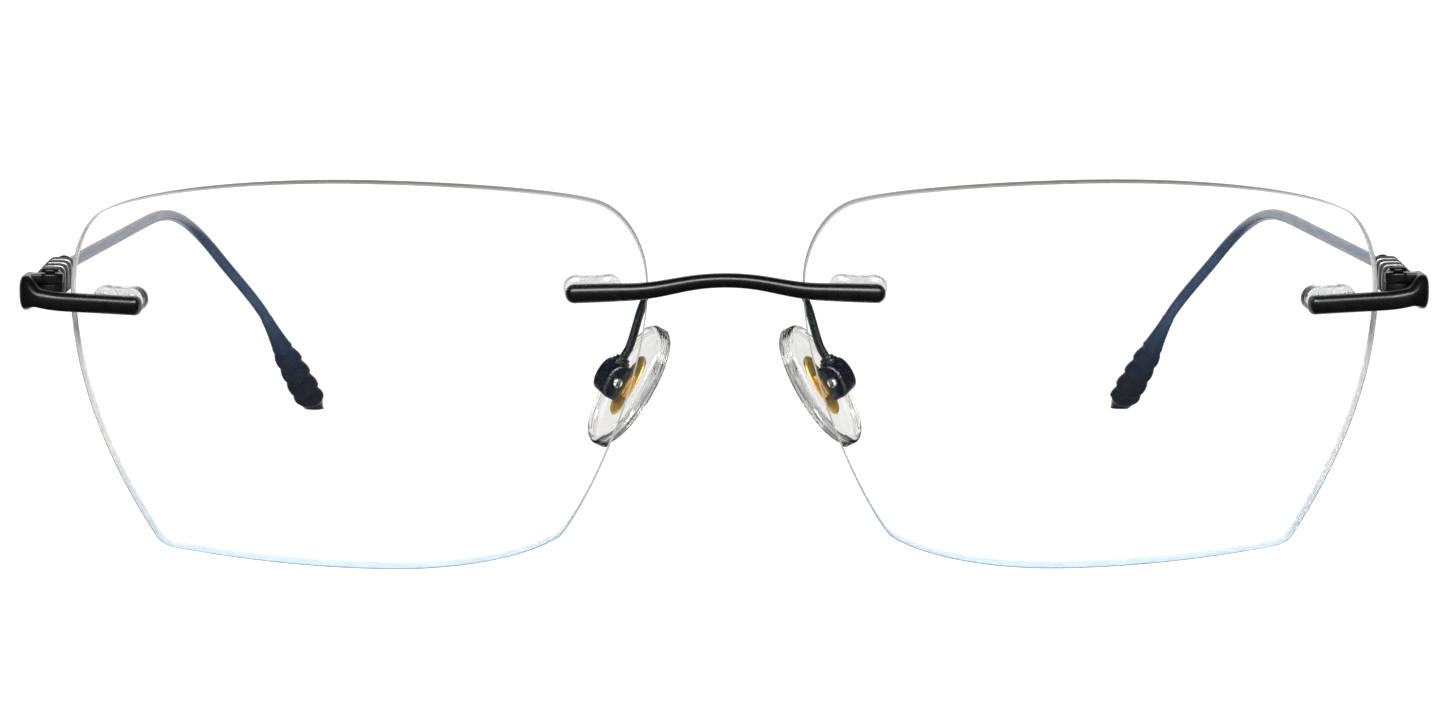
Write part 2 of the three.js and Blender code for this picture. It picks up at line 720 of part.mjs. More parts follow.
addPair('lens', lensLocal.clone().applyMatrix4(lensPlace), clearLens);
addMesh('bridge_bar', bridgeBar(), blackMetal());
for (const [where, side] of [['inner', -1], ['outer', 1]]) {
  addPair(`bridge_pin_${where}`, pin(bridgePlace, (side * bridgePinSpacing) / 2), silverMetal);
  addPair(`endpiece_pin_${where}`, pin(endpiecePlace, (side * endpiecePinSpacing) / 2), silverMetal);
}
addPair('bridge_sleeve', sleeve(bridgePlace, bridgePinSpacing), clearResin);
addPair('endpiece_sleeve', sleeve(endpiecePlace, endpiecePinSpacing), clearResin);
addPair('endpiece', endpiece(), blackMetal);
addPair('hinge_screw', hingeScrew(), blackMetal);
addPair('temple_front', templeFront(), darkMetal);
addPair('temple_wire', templeWire(), darkMetal);
addPair('temple_tip', templeTip(), tipResin);
addPair('pad_arm', padArm(), blackMetal);
addPair('pad_box', padBox(), blackMetal);
addPair('pad_screw', padScrew(), silverMetal);
addPair('pad_core', padCore(), goldMetal);
addPair('nose_pad', nosePad(), silicone);

// The origin is on the ground, below the middle of the glasses' box.
const outerBox = new THREE.Box3().setFromObject(glasses);
glasses.position.y = -(outerBox.min.y + outerBox.max.y) / 2;

export default glasses;
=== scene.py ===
"""Rimless eyeglasses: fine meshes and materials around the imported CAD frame.

A pale stage and a soft light complete the scene. Sizes are in millimetres and become metres where a
mesh is made. Each sided piece is drawn on the +X side, the wearer's left, and reflected for the
other side, as the CAD model is.
"""
import bisect
import math

import bmesh
import bpy
from mathutils import Matrix, Vector


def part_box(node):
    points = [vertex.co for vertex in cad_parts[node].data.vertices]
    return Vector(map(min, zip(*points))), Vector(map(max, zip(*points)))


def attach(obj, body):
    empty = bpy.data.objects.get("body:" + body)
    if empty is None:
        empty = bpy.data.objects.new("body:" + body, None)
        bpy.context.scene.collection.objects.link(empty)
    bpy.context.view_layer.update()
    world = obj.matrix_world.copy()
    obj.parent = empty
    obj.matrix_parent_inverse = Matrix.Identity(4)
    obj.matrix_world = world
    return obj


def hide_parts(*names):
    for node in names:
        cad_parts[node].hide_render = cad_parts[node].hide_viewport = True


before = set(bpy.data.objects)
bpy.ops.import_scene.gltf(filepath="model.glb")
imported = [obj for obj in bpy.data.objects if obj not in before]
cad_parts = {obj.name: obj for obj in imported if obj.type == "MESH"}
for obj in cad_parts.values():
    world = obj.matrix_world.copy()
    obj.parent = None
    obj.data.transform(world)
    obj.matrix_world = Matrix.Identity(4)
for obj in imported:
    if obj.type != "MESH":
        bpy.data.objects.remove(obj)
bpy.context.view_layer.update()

MM = 0.001
UP = Vector((0, 0, 1))
SIDES = ("left", "right")


# ---------------------------------------------------------------- mesh tools

def new_object(name, verts, faces, sharp_degrees=38):
    """A smooth-shaded object from millimetre points, with its creases kept sharp."""
    mesh = bpy.data.meshes.new(name)
    mesh.from_pydata([Vector(v) * MM for v in verts], [], faces)
    mesh.validate()
    obj = bpy.data.objects.new(name, mesh)
    bpy.context.scene.collection.objects.link(obj)
    tidy_mesh(obj, sharp_degrees)
    return obj


def tidy_mesh(obj, sharp_degrees=38):
    """Normals out and smooth shading, sharp where faces meet steeper than the angle."""
    work = bmesh.new()
    work.from_mesh(obj.data)
    bmesh.ops.recalc_face_normals(work, faces=work.faces)
    work.to_mesh(obj.data)
    work.free()
    obj.data.shade_smooth()
    obj.data.set_sharp_from_angle(angle=math.radians(sharp_degrees))


def apply_modifiers(obj):
    """The object's mesh becomes what its modifiers make of it."""
    graph = bpy.context.evaluated_depsgraph_get()
    result = bpy.data.meshes.new_from_object(obj.evaluated_get(graph))
    obj.modifiers.clear()
    obj.data = result


def join_shells(name, parts, sharp_degrees=38):
    """Several shells as one object."""
    work = bmesh.new()
    for part in parts:
        work.from_mesh(part.data)
    mesh = bpy.data.meshes.new(name)
    work.to_mesh(mesh)
    work.free()
    obj = bpy.data.objects.new(name, mesh)
    bpy.context.scene.collection.objects.link(obj)
    for part in parts:
        bpy.data.objects.remove(part)
    tidy_mesh(obj, sharp_degrees)
    return obj


def boolean(obj, others, operation):
    """Cuts or joins with exact booleans, and removes the tools."""
    for other in others:
        step = obj.modifiers.new("step", "BOOLEAN")
        step.operation = operation
        step.solver = "EXACT"
        step.object = other
        apply_modifiers(obj)
        bpy.data.objects.remove(other)


def soften(obj, width, segments=3, angle=35):
    """Rounds the edges steeper than the angle."""
    bevel = obj.modifiers.new("round", "BEVEL")
    bevel.width = width * MM
    bevel.segments = segments
    bevel.limit_method = "ANGLE"
    bevel.angle_limit = math.radians(angle)
    bevel.use_clamp_overlap = True
    apply_modifiers(obj)
    tidy_mesh(obj, 40)
    return obj


def moved(obj, matrix):
    """Moves the mesh itself by a matrix in millimetres."""
    change = matrix.copy()
    change.translation = matrix.translation * MM
    obj.data.transform(change)
    return obj


def reflected(obj, name):
    """The same piece on the -X side."""
    mesh = obj.data.copy()
    mesh.transform(Matrix.Scale(-1, 4, Vector((1, 0, 0))))
    mesh.flip_normals()
    other = bpy.data.objects.new(name, mesh)
    bpy.context.scene.collection.objects.link(other)
    return other


def squared(value, power):
    """A sine or cosine bent so that its circle becomes a superellipse of the power: 2 stays round."""
    return math.copysign(abs(value) ** (2 / power), value)


def ring_faces(count, sides, first=0):
    """Quads between neighbouring rings of points, numbered from the first ring's first point."""
    faces = []
    for k in range(count - 1):
        for i in range(sides):
            a = first + k * sides + i
            b = first + k * sides + (i + 1) % sides
            faces.append((a, b, b + sides, a + sides))
    return faces


def poled_faces(count, sides):
    """Faces of a closed body whose points are a pole, then the rings, then the other pole."""
    faces = ring_faces(count, sides, 1)
    last_ring = 1 + (count - 1) * sides
    far_pole = last_ring + sides
    for i in range(sides):
        j = (i + 1) % sides
        faces.append((0, 1 + j, 1 + i))
        faces.append((last_ring + i, last_ring + j, far_pole))
    return faces


def sweep(name, rings, sides, sharp_degrees=38, push=None):
    """A closed body through rings of (centre, along, half across, half upright, power).

    push(ring number, angle) gives a factor on the ring's radius.
    """
    verts = []
    for k, (centre, along, half_across, half_upright, power) in enumerate(rings):
        across = along.cross(UP).normalized()
        upright = across.cross(along).normalized()
        for i in range(sides):
            angle = 2 * math.pi * i / sides
            grow = push(k, angle) if push else 1
            x = half_across * squared(math.cos(angle), power) * grow
            y = half_upright * squared(math.sin(angle), power) * grow
            verts.append(centre + across * x + upright * y)
    faces = ring_faces(len(rings), sides)
    last = (len(rings) - 1) * sides
    faces.append(tuple(reversed(range(sides))))
    faces.append(tuple(range(last, last + sides)))
    return new_object(name, verts, faces, sharp_degrees)


def lathe(name, profile, axis_x=0, sides=40):
    """A round body about an axis along Y through (radius, y) points, which start and end on it."""
    inner = profile[1:-1]
    verts = [Vector((axis_x, profile[0][1], 0))]
    for radius, y in inner:
        for i in range(sides):
            angle = 2 * math.pi * i / sides
            verts.append(Vector((axis_x + radius * math.cos(angle), y, radius * math.sin(angle))))
    verts.append(Vector((axis_x, profile[-1][1], 0)))
    return new_object(name, verts, poled_faces(len(inner), sides))


def rounded_rod(name, radius, low, high, edge, x=0):
    """A round rod along Y at an x, with its rims rounded by the edge."""
    steps = 4
    arc = [math.pi / 2 * k / steps for k in range(steps + 1)]
    flat = radius - edge
    profile = [(0, low)]
    profile += [(flat + edge * math.sin(a), low + edge - edge * math.cos(a)) for a in arc]
    profile += [(flat + edge * math.cos(a), high - edge + edge * math.sin(a)) for a in arc]
    profile.append((0, high))
    return lathe(name, profile, x)


def brick(name, low, high):
    """A plain box, used as a cutting tool or before its edges are rounded."""
    xs, ys, zs = zip(low, high)
    verts = [Vector((x, y, z)) for x in xs for y in ys for z in zs]
    faces = [(0, 1, 3, 2), (4, 6, 7, 5), (0, 4, 5, 1), (2, 3, 7, 6), (0, 2, 6, 4), (1, 5, 7, 3)]
    return new_object(name, verts, faces)


STAND = Matrix.Rotation(math.radians(90), 4, "X")      # local Y becomes Z
LIE_ACROSS = Matrix.Rotation(math.radians(-90), 4, "Z")  # local Y becomes X


# ---------------------------------------------------------------- paths

def cubic(a, b, c, d, t):
    """The point at t, 0 to 1, of the Bezier bend from a to d with the handles b and c."""
    s = 1 - t
    return a * s ** 3 + b * (3 * s * s * t) + c * (3 * s * t * t) + d * t ** 3


def dense_path(stretches, steps=60):
    """Points along straight stretches (2 points) and cubic bends (4 points)."""
    points = [stretches[0][0].copy()]
    for stretch in stretches:
        bend = cubic if len(stretch) == 4 else Vector.lerp
        points.extend(bend(*stretch, k / steps) for k in range(1, steps + 1))
    return points


class Path:
    """A dense line that gives the place and direction at a distance."""

    def __init__(self, points):
        self.points = points
        self.reach = [0]
        for a, b in zip(points, points[1:]):
            self.reach.append(self.reach[-1] + (b - a).length)
        self.length = self.reach[-1]

    def at(self, distance):
        last = len(self.reach) - 1
        low = bisect.bisect_right(self.reach, distance, 1, last) - 1
        step = self.reach[low + 1] - self.reach[low]
        return self.points[low].lerp(self.points[low + 1], (distance - self.reach[low]) / step)

    def along(self, distance, reach=0.15):
        """The direction between the points a reach before and after the distance."""
        a = self.at(max(0, distance - reach))
        b = self.at(min(self.length, distance + reach))
        return (b - a).normalized()


def path_rings(path, count, half_at, end_round, power, end_steps):
    """Rings along a path with both ends rounded over end_round, in end_steps rings each.

    half_at(part of the length) gives half the size across and half the size upright.
    """
    stops = []
    for k in range(1, end_steps + 1):
        angle = math.pi / 2 * k / (end_steps + 1)
        stops.append((end_round * (1 - math.cos(angle)), math.sin(angle)))
    straight = path.length - 2 * end_round
    body = [(end_round + straight * k / count, 1) for k in range(count + 1)]
    closing = [(path.length - distance, scale) for distance, scale in reversed(stops)]
    rings = []
    for distance, scale in stops + body + closing:
        across, upright = half_at(distance / path.length)
        rings.append((path.at(distance), path.along(distance), across * scale, upright * scale, power))
    return rings


def smoothstep(value, low, high):
    """0 below low and 1 above high, with an even ease between."""
    t = min(1, max(0, (value - low) / (high - low)))
    return t * t * (3 - 2 * t)


def mix(a, b, t):
    return a + (b - a) * t


# ---------------------------------------------------------------- materials

class Nodes:
    """A material's node tree with the few steps that every material here uses."""

    def __init__(self, name):
        self.material = bpy.data.materials.new(name)
        self.material.use_nodes = True
        self.tree = self.material.node_tree
        self.shader = self.tree.nodes["Principled BSDF"]
        self.output = self.tree.nodes["Material Output"]

    def add(self, kind, **inputs):
        """A new node with some inputs set. An underscore stands for a space."""
        node = self.tree.nodes.new(kind)
        for key, value in inputs.items():
            node.inputs[key.replace("_", " ")].default_value = value
        return node

    def link(self, source, target):
        self.tree.links.new(source, target)

    def set(self, **values):
        """Plain values of the shader's inputs, named as in add()."""
        for key, value in values.items():
            self.shader.inputs[key.replace("_", " ")].default_value = value

    def noise(self, scale, detail, stretch=(1, 1, 1)):
        """A 0 to 1 noise in object space; scale is in features per metre."""
        place = self.add("ShaderNodeTexCoord")
        mapping = self.add("ShaderNodeMapping", Scale=stretch)
        texture = self.add("ShaderNodeTexNoise", Scale=scale, Detail=detail, Roughness=0.55)
        self.link(place.outputs["Object"], mapping.inputs["Vector"])
        self.link(mapping.outputs["Vector"], texture.inputs["Vector"])
        return texture.outputs["Fac"]

    def spread(self, source, low, high, lowest=0.3, highest=0.7):
        """The source's range stretched onto low to high. Most of a noise lies from 0.3 to 0.7."""
        node = self.add("ShaderNodeMapRange", From_Min=lowest, From_Max=highest, To_Min=low, To_Max=high)
        self.link(source, node.inputs["Value"])
        return node.outputs["Result"]

    def height(self, low, high):
        """0 at a low height above the ground and 1 at a high one, in millimetres."""
        place = self.add("ShaderNodeTexCoord")
        split = self.add("ShaderNodeSeparateXYZ")
        self.link(place.outputs["Object"], split.inputs[0])
        return self.spread(split.outputs["Z"], 0, 1, low * MM, high * MM)

    def sum(self, first, second):
        node = self.add("ShaderNodeMath")
        node.operation = "ADD"
        self.link(first, node.inputs[0])
        self.link(second, node.inputs[1])
        return node.outputs[0]

    def shades(self, source, *stops):
        """Base colours over the source, as (position, colour) stops."""
        ramp = self.add("ShaderNodeValToRGB")
        elements = ramp.color_ramp.elements
        while len(elements) < len(stops):
            elements.new(1)
        for element, (position, colour) in zip(elements, stops):
            element.position = position
            element.color = (*colour, 1)
        self.link(source, ramp.inputs["Fac"])
        self.link(ramp.outputs["Color"], self.shader.inputs["Base Color"])

    def tint(self, source, dark, light):
        """A colour between dark and light."""
        self.shades(source, (0.32, dark), (0.68, light))

    def rough(self, source, low, high):
        self.link(self.spread(source, low, high), self.shader.inputs["Roughness"])

    def bump(self, source, strength, depth):
        """depth is the height of the relief in millimetres."""
        node = self.add("ShaderNodeBump", Strength=strength, Distance=depth * MM)
        self.link(source, node.inputs["Height"])
        self.link(node.outputs["Normal"], self.shader.inputs["Normal"])

    def clear_shadow(self, amount):
        """Light passes through: shadow rays see mostly a transparent surface."""
        rays = self.add("ShaderNodeLightPath")
        scale = self.add("ShaderNodeMath")
        scale.operation = "MULTIPLY"
        scale.inputs[1].default_value = amount
        clear = self.add("ShaderNodeBsdfTransparent")
        blend = self.add("ShaderNodeMixShader")
        self.link(rays.outputs["Is Shadow Ray"], scale.inputs[0])
        self.link(scale.outputs[0], blend.inputs["Fac"])
        self.link(self.shader.outputs["BSDF"], blend.inputs[1])
        self.link(clear.outputs["BSDF"], blend.inputs[2])
        self.link(blend.outputs["Shader"], self.output.inputs["Surface"])


def black_satin():
    """Deep black lacquer on metal with a fine satin grain."""
    m = Nodes("black_satin_metal")
    m.set(Metallic=0.0, IOR=1.5)
    m.tint(m.noise(900, 3), (0.0015, 0.0015, 0.0016), (0.003, 0.003, 0.0031))
    m.rough(m.noise(1400, 5), 0.25, 0.31)
    m.bump(m.noise(2600, 2), 0.05, 0.004)
    return m.material


def matte_black():
    """Flat black coating that stays dark even when seen along the surface."""
    m = Nodes("matte_black_metal")
    m.set(Metallic=0.0, IOR=1.25)
    m.tint(m.noise(900, 3), (0.002, 0.002, 0.0021), (0.004, 0.004, 0.0042))
    m.rough(m.noise(1400, 4), 0.4, 0.5)
    m.bump(m.noise(2600, 2), 0.05, 0.004)
    return m.material


def dark_plated():
    """Dark blue-grey coated wire, drawn lengthwise."""
    m = Nodes("dark_coated_temple")
    m.set(Metallic=0.25, IOR=1.6)
    m.tint(m.noise(500, 4, stretch=(1, 0.15, 1)), (0.036, 0.059, 0.104), (0.052, 0.08, 0.138))
    m.rough(m.noise(2200, 4, stretch=(1, 0.05, 1)), 0.22, 0.3)
    m.bump(m.noise(2400, 2, stretch=(1, 0.06, 1)), 0.04, 0.004)
    return m.material


def matte_tip():
    """Soft-touch dark resin: navy where it takes the wire, black at the foot."""
    m = Nodes("matte_tip_resin")
    m.set(Metallic=0.0, IOR=1.48)
    place = m.sum(m.height(0, 14), m.spread(m.noise(1200, 4), -0.06, 0.06))
    m.shades(place, (0.2, (0.009, 0.009, 0.01)), (0.55, (0.011, 0.015, 0.026)),
             (0.9, (0.028, 0.045, 0.082)))
    m.rough(m.noise(1800, 4), 0.28, 0.38)
    m.bump(m.noise(2400, 3), 0.05, 0.003)
    return m.material


def silver():
    m = Nodes("silver_screw_metal")
    m.set(Metallic=1.0)
    m.tint(m.noise(2500, 3), (0.62, 0.62, 0.62), (0.78, 0.78, 0.77))
    m.rough(m.noise(3000, 3), 0.14, 0.22)
    m.bump(m.noise(3000, 2), 0.05, 0.003)
    return m.material


def groove_painted_reflection():
    """Lighter grey metal between the ribs of a temple front: a painted reflection for the bright grazing
    light along the grooves.
    """
    m = Nodes("groove_painted_reflection_metal")
    m.set(Metallic=0.5)
    m.tint(m.noise(1500, 3), (0.2, 0.2, 0.204), (0.29, 0.29, 0.294))
    m.rough(m.noise(2200, 3), 0.3, 0.42)
    m.bump(m.noise(2400, 2), 0.05, 0.003)
    return m.material


def gold():
    m = Nodes("gold_core_metal")
    m.set(Metallic=0.78)
    m.tint(m.noise(1600, 3), (0.52, 0.31, 0.075), (0.74, 0.49, 0.14))
    m.rough(m.noise(2600, 4), 0.3, 0.42)
    m.bump(m.noise(2600, 2), 0.08, 0.004)
    return m.material


def clear_lens():
    """Polished clear plastic whose coating leaves only a weak blue reflection."""
    m = Nodes("clear_lens_plastic")
    m.set(Metallic=0.0, IOR=1.56, Transmission_Weight=1.0, Specular_Tint=(0.04, 0.09, 0.17, 1))
    m.tint(m.noise(60, 2), (0.985, 0.99, 0.992), (0.995, 0.998, 1.0))
    m.rough(m.noise(400, 2), 0.0, 0.004)
    m.clear_shadow(0.96)
    return m.material


def lens_edge():
    """The lens's ground edge: fine and frosted grey, with a painted blue reflection below and painted
    shade along its top.
    """
    m = Nodes("lens_edge_frosted_painted_light")
    m.set(Metallic=0.0, IOR=1.3)
    place = m.sum(m.height(0, 40), m.spread(m.noise(900, 4), -0.006, 0.006))
    # Painted light over the frosted grey: a painted blue reflection low down, painted shade along the
    # top.
    m.shades(place, (0.02, (0.24, 0.295, 0.34)), (0.3, (0.33, 0.33, 0.325)),
             (0.95, (0.34, 0.34, 0.34)), (0.99, (0.16, 0.145, 0.135)))
    m.rough(m.noise(1200, 4), 0.6, 0.8)
    m.bump(m.noise(1500, 3), 0.06, 0.006)
    m.clear_shadow(0.8)
    return m.material


def clear_resin():
    m = Nodes("clear_sleeve_resin")
    m.set(Metallic=0.0, IOR=1.5, Transmission_Weight=1.0)
    m.tint(m.noise(900, 3), (0.6, 0.61, 0.61), (0.76, 0.765, 0.765))
    m.rough(m.noise(1800, 4), 0.03, 0.09)
    m.bump(m.noise(2000, 2), 0.1, 0.01)
    m.clear_shadow(0.85)
    return m.material


def clear_silicone():
    m = Nodes("clear_pad_silicone")
    m.set(Metallic=0.0, IOR=1.43, Transmission_Weight=1.0)
    m.tint(m.noise(500, 3), (0.74, 0.735, 0.72), (0.84, 0.835, 0.82))
    m.rough(m.noise(1500, 4), 0.03, 0.08)
    m.bump(m.noise(1500, 3), 0.08, 0.01)
    m.clear_shadow(0.8)
    return m.material


LENS = clear_lens()
LENS_EDGE_PAINTED_LIGHT = lens_edge()
BLACK = black_satin()
MATTE_BLACK = matte_black()
PLATED = dark_plated()
TIP = matte_tip()
SILVER = silver()
GROOVE_PAINTED_REFLECTION = groove_painted_reflection()
GOLD = gold()
RESIN = clear_resin()
SILICONE = clear_silicone()


# ---------------------------------------------------------------- pieces on their bodies

def install(obj, node, body, slot, *materials):
    """Gives a finished piece its materials and its body, and hides its CAD node. The slot is not used.
    """
    for material in materials:
        obj.data.materials.append(material)
    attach(obj, body)
    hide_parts(node)


def install_pair(base, obj, body, slot, *materials):
    """Installs the left piece and its reflection. body may hold {side}."""
    right = reflected(obj, f"{base}_right_fine")
    obj.name = f"{base}_left_fine"
    for side, piece in zip(SIDES, (obj, right)):
        install(piece, f"{base}_{side}", body.format(side=side), slot, *materials)


# ---------------------------------------------------------------- lens

LENS_THICKNESS = 2.5
LENS_RADIUS = 130
LENS_TURN = Matrix.Rotation(math.radians(5), 4, "Z") @ Matrix.Rotation(math.radians(7), 4, "X")
LENS_HOLE = 0.77
LENS_CREASE = 25
LENS_RINGS = 16
LAST_RING = 0.985
EDGE_CHAMFER = 0.16
EDGE_LEAN = 0.36
EDGE_LEAN_TOP = 0.23
DRILL_REACH = (-3, 6)
BRIDGE_SEAT = (-23.6, 8.8)
BRIDGE_SPACING = 3.2
ENDPIECE_SEAT = (25.1, 7.2)
ENDPIECE_SPACING = 2.9

# The outline's bends in the lens plane: each row's first two points are its handles.
OUTLINE_START = (-28.8, 9.2)
OUTLINE_BENDS = (
    ((-28.8, 12.6), (-27, 16.2), (-24.3, 17.4), 16),
    ((-21.5, 18.6), (-10, 19.9), (1, 19.9), 20),
    ((11.5, 19.9), (22, 18.4), (25.9, 16.4), 20),
    ((28.2, 15.1), (29.4, 11.6), (29.4, 7.5), 16),
    ((29.4, -1), (25.9, -9.8), (21.6, -17), 24),
    ((21.2, -17.7), (20.53, -18.12), (19.6, -18.25), 8),
    ((12, -19.3), (4, -19.9), (-3, -19.9), 20),
    ((-9, -19.9), (-16, -18.9), (-19.6, -16.6), 16),
    ((-22, -14.2), (-28.8, -0.6), (-28.8, 9.2), 28),
)


def outline_points():
    points = []
    start = Vector(OUTLINE_START)
    for handle_a, handle_b, end, steps in OUTLINE_BENDS:
        stretch = (start, Vector(handle_a), Vector(handle_b), Vector(end))
        points.extend(cubic(*stretch, k / steps) for k in range(1, steps + 1))
        start = stretch[3]
    return points


def edge_lean(point):
    """How far the edge wall leans in towards the back: least along the top."""
    toward = point.normalized()
    return mix(EDGE_LEAN_TOP, EDGE_LEAN, smoothstep(0.75 * toward.x - toward.y, -0.3, 0.5))


def shrunk(point, amount):
    """The point moved towards the lens's middle by an amount."""
    return point * (1 - amount / point.length)


def front_depth(x, z):
    return LENS_RADIUS - math.sqrt(LENS_RADIUS ** 2 - x * x - z * z)


def back_depth(x, z):
    return LENS_RADIUS - math.sqrt((LENS_RADIUS - LENS_THICKNESS) ** 2 - x * x - z * z)


def seat_in_lens(seat):
    """The frame of a mount on the lens's front face: local Y goes straight back through it."""
    x, z = seat
    swing = Matrix.Rotation(math.asin(x / LENS_RADIUS), 4, "Z")
    nod = Matrix.Rotation(-math.asin(z / LENS_RADIUS), 4, "X")
    return Matrix.Translation((x, front_depth(x, z), z)) @ (swing @ nod)


def on_surface(points, surface, scale=1, depth=0):
    """The outline's points scaled about the middle and set on a surface, or deeper by a depth."""
    scaled = [(point.x * scale, point.y * scale) for point in points]
    return [Vector((x, surface(x, z) + depth, z)) for x, z in scaled]


def lens_shell():
    """Front dome, chamfered edge and back dome, ring by ring. The chamfers and the wall are frosted,
    with painted shade along the top and a painted blue reflection along the bottom.
    """
    outline = outline_points()
    count = len(outline)
    inset = [shrunk(p, EDGE_CHAMFER) for p in outline]
    back = [shrunk(p, edge_lean(p)) for p in outline]
    back_inset = [shrunk(p, EDGE_CHAMFER) for p in back]
    ring_scales = [k / LENS_RINGS for k in range(1, LENS_RINGS)] + [LAST_RING]
    loops = [on_surface(inset, front_depth, scale) for scale in ring_scales]
    loops.append(on_surface(inset, front_depth))
    loops.append(on_surface(outline, front_depth, depth=EDGE_CHAMFER))
    loops.append(on_surface(back, back_depth, depth=-EDGE_CHAMFER))
    loops.append(on_surface(back_inset, back_depth))
    loops += [on_surface(back_inset, back_depth, scale) for scale in reversed(ring_scales)]
    verts = [Vector((0, 0, 0))]
    for loop in loops:
        verts += loop
    verts.append(Vector((0, LENS_THICKNESS, 0)))
    lens = new_object("lens", verts, poled_faces(len(loops), count), LENS_CREASE)
    lens.data.materials.append(LENS)
    lens.data.materials.append(LENS_EDGE_PAINTED_LIGHT)
    first_edge_ring = len(ring_scales)
    for face in lens.data.polygons[first_edge_ring * count:(first_edge_ring + 3) * count]:
        face.material_index = 1
    return lens


def placed_lens():
    """The drilled lens, set where the CAD lens's box is. Returns it with the lens frame's place."""
    lens = lens_shell()
    drills = []
    for seat, spacing in ((BRIDGE_SEAT, BRIDGE_SPACING), (ENDPIECE_SEAT, ENDPIECE_SPACING)):
        for side in (-0.5, 0.5):
            drill = rounded_rod("drill", LENS_HOLE, *DRILL_REACH, 0.1, side * spacing)
            drills.append(moved(drill, seat_in_lens(seat)))
    moved(lens, LENS_TURN)
    corner = Vector([min(v.co[i] for v in lens.data.vertices) for i in range(3)])
    place = Matrix.Translation((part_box("lens_left")[0] - corner) / MM)
    moved(lens, place)
    for drill in drills:
        moved(drill, place @ LENS_TURN)
    boolean(lens, drills, "DIFFERENCE")
    tidy_mesh(lens, LENS_CREASE)
    return lens, place


lens_piece, LENS_SHIFT = placed_lens()
SHIFT_Y = LENS_SHIFT.translation.y
LENS_PLACE = LENS_SHIFT @ LENS_TURN
BRIDGE_PLACE = LENS_PLACE @ seat_in_lens(BRIDGE_SEAT)
ENDPIECE_PLACE = LENS_PLACE @ seat_in_lens(ENDPIECE_SEAT)


def spot(x, y, z):
    """A point of the row frame from the lens-apex frame that the CAD dimensions use."""
    return Vector((x, y + SHIFT_Y, z))


def seat_direction(place):
    """The way a mount's local X runs in the row frame."""
    return Vector([place[i][0] for i in range(3)])


def opposite(point):
    return Vector((-point.x, point.y, point.z))


install_pair("lens", lens_piece, "front", "lens_clear")


# ---------------------------------------------------------------- pins and sleeves

SLACK = 0.05
PIN_RADIUS = 0.45
PIN_FRONT = -0.65
PIN_RIM = 0.12
BARREL_RADIUS = 1.3
BARREL_LENGTH = 1.6
BARREL_RIM = 0.28
SLEEVE_FRONT = LENS_THICKNESS + 0.1
SLEEVE_BACK = SLEEVE_FRONT + BARREL_LENGTH
PIN_STOP = SLEEVE_BACK - 0.35
PLUG_RADIUS = 0.72
WEB_HALF_HEIGHT = 1.18


def pin(place, x):
    return moved(rounded_rod("pin", PIN_RADIUS, PIN_FRONT, PIN_STOP, PIN_RIM, x), place)


def sleeve(place, spacing):
    """Two barrels with a web and plugs through the lens, as one moulded body bored for its pins."""
    half = spacing / 2
    barrels, plugs, bores = [], [], []
    for x in (-half, half):
        barrels.append(rounded_rod("barrel", BARREL_RADIUS, SLEEVE_FRONT, SLEEVE_BACK, BARREL_RIM, x))
        plugs.append(rounded_rod("plug", PLUG_RADIUS, 0.1, SLEEVE_FRONT + 0.4, 0.05, x))
        bores.append(rounded_rod("bore", PIN_RADIUS + SLACK, -1, PIN_STOP + SLACK, 0.1, x))
    web_low = (-half, SLEEVE_FRONT + 0.05, -WEB_HALF_HEIGHT)
    web_high = (half, SLEEVE_BACK - 0.06, WEB_HALF_HEIGHT)
    body, other_barrel = barrels
    boolean(body, [brick("web", web_low, web_high), other_barrel] + plugs, "UNION")
    boolean(body, bores, "DIFFERENCE")
    tidy_mesh(body, 32)
    return moved(body, place)


MOUNTS = (("bridge", BRIDGE_PLACE, BRIDGE_SPACING), ("endpiece", ENDPIECE_PLACE, ENDPIECE_SPACING))
for where, side in (("inner", -0.5), ("outer", 0.5)):
    for base, place, spacing in MOUNTS:
        install_pair(f"{base}_pin_{where}", pin(place, side * spacing), "front", "silver_metal", SILVER)
for base, place, spacing in MOUNTS:
    install_pair(f"{base}_sleeve", sleeve(place, spacing), "front", "sleeve_clear", RESIN)


# ---------------------------------------------------------------- bridge

BAR_DEPTH = 1.8
BAR_CENTRE = -(BAR_DEPTH / 2 + SLACK)
BAR_END_HEIGHT = 1.92
BAR_MIDDLE_HEIGHT = 1.45
BAR_END_X = 3
SHOULDER_X = -3.2
SHOULDER_HANDLE = 4
ARCH_RISE = 1.1
ARCH_SETBACK = 0.5
ARCH_HANDLE = 4.2


def bridge_bar():
    """Straight along each lens, with a low arch between the shoulders."""
    end = BRIDGE_PLACE @ Vector((BAR_END_X, BAR_CENTRE, 0))
    shoulder = BRIDGE_PLACE @ Vector((SHOULDER_X, BAR_CENTRE, 0))
    leave = shoulder - seat_direction(BRIDGE_PLACE) * SHOULDER_HANDLE
    crown = Vector((0, shoulder.y + ARCH_SETBACK, shoulder.z + ARCH_RISE))
    before = crown + Vector((ARCH_HANDLE, 0, 0))
    path = Path(dense_path([
        (end, shoulder),
        (shoulder, leave, before, crown),
        (crown, opposite(before), opposite(leave), opposite(shoulder)),
        (opposite(shoulder), opposite(end)),
    ]))

    def half_at(part):
        middle = math.sin(math.pi * part) ** 2
        return BAR_DEPTH / 2, mix(BAR_END_HEIGHT, BAR_MIDDLE_HEIGHT, middle) / 2

    return sweep("bridge_bar_fine", path_rings(path, 110, half_at, 0.9, 2.35, 9), 48)


install(bridge_bar(), "bridge_bar", "front", "black_metal", BLACK)


# ---------------------------------------------------------------- endpieces and hinges

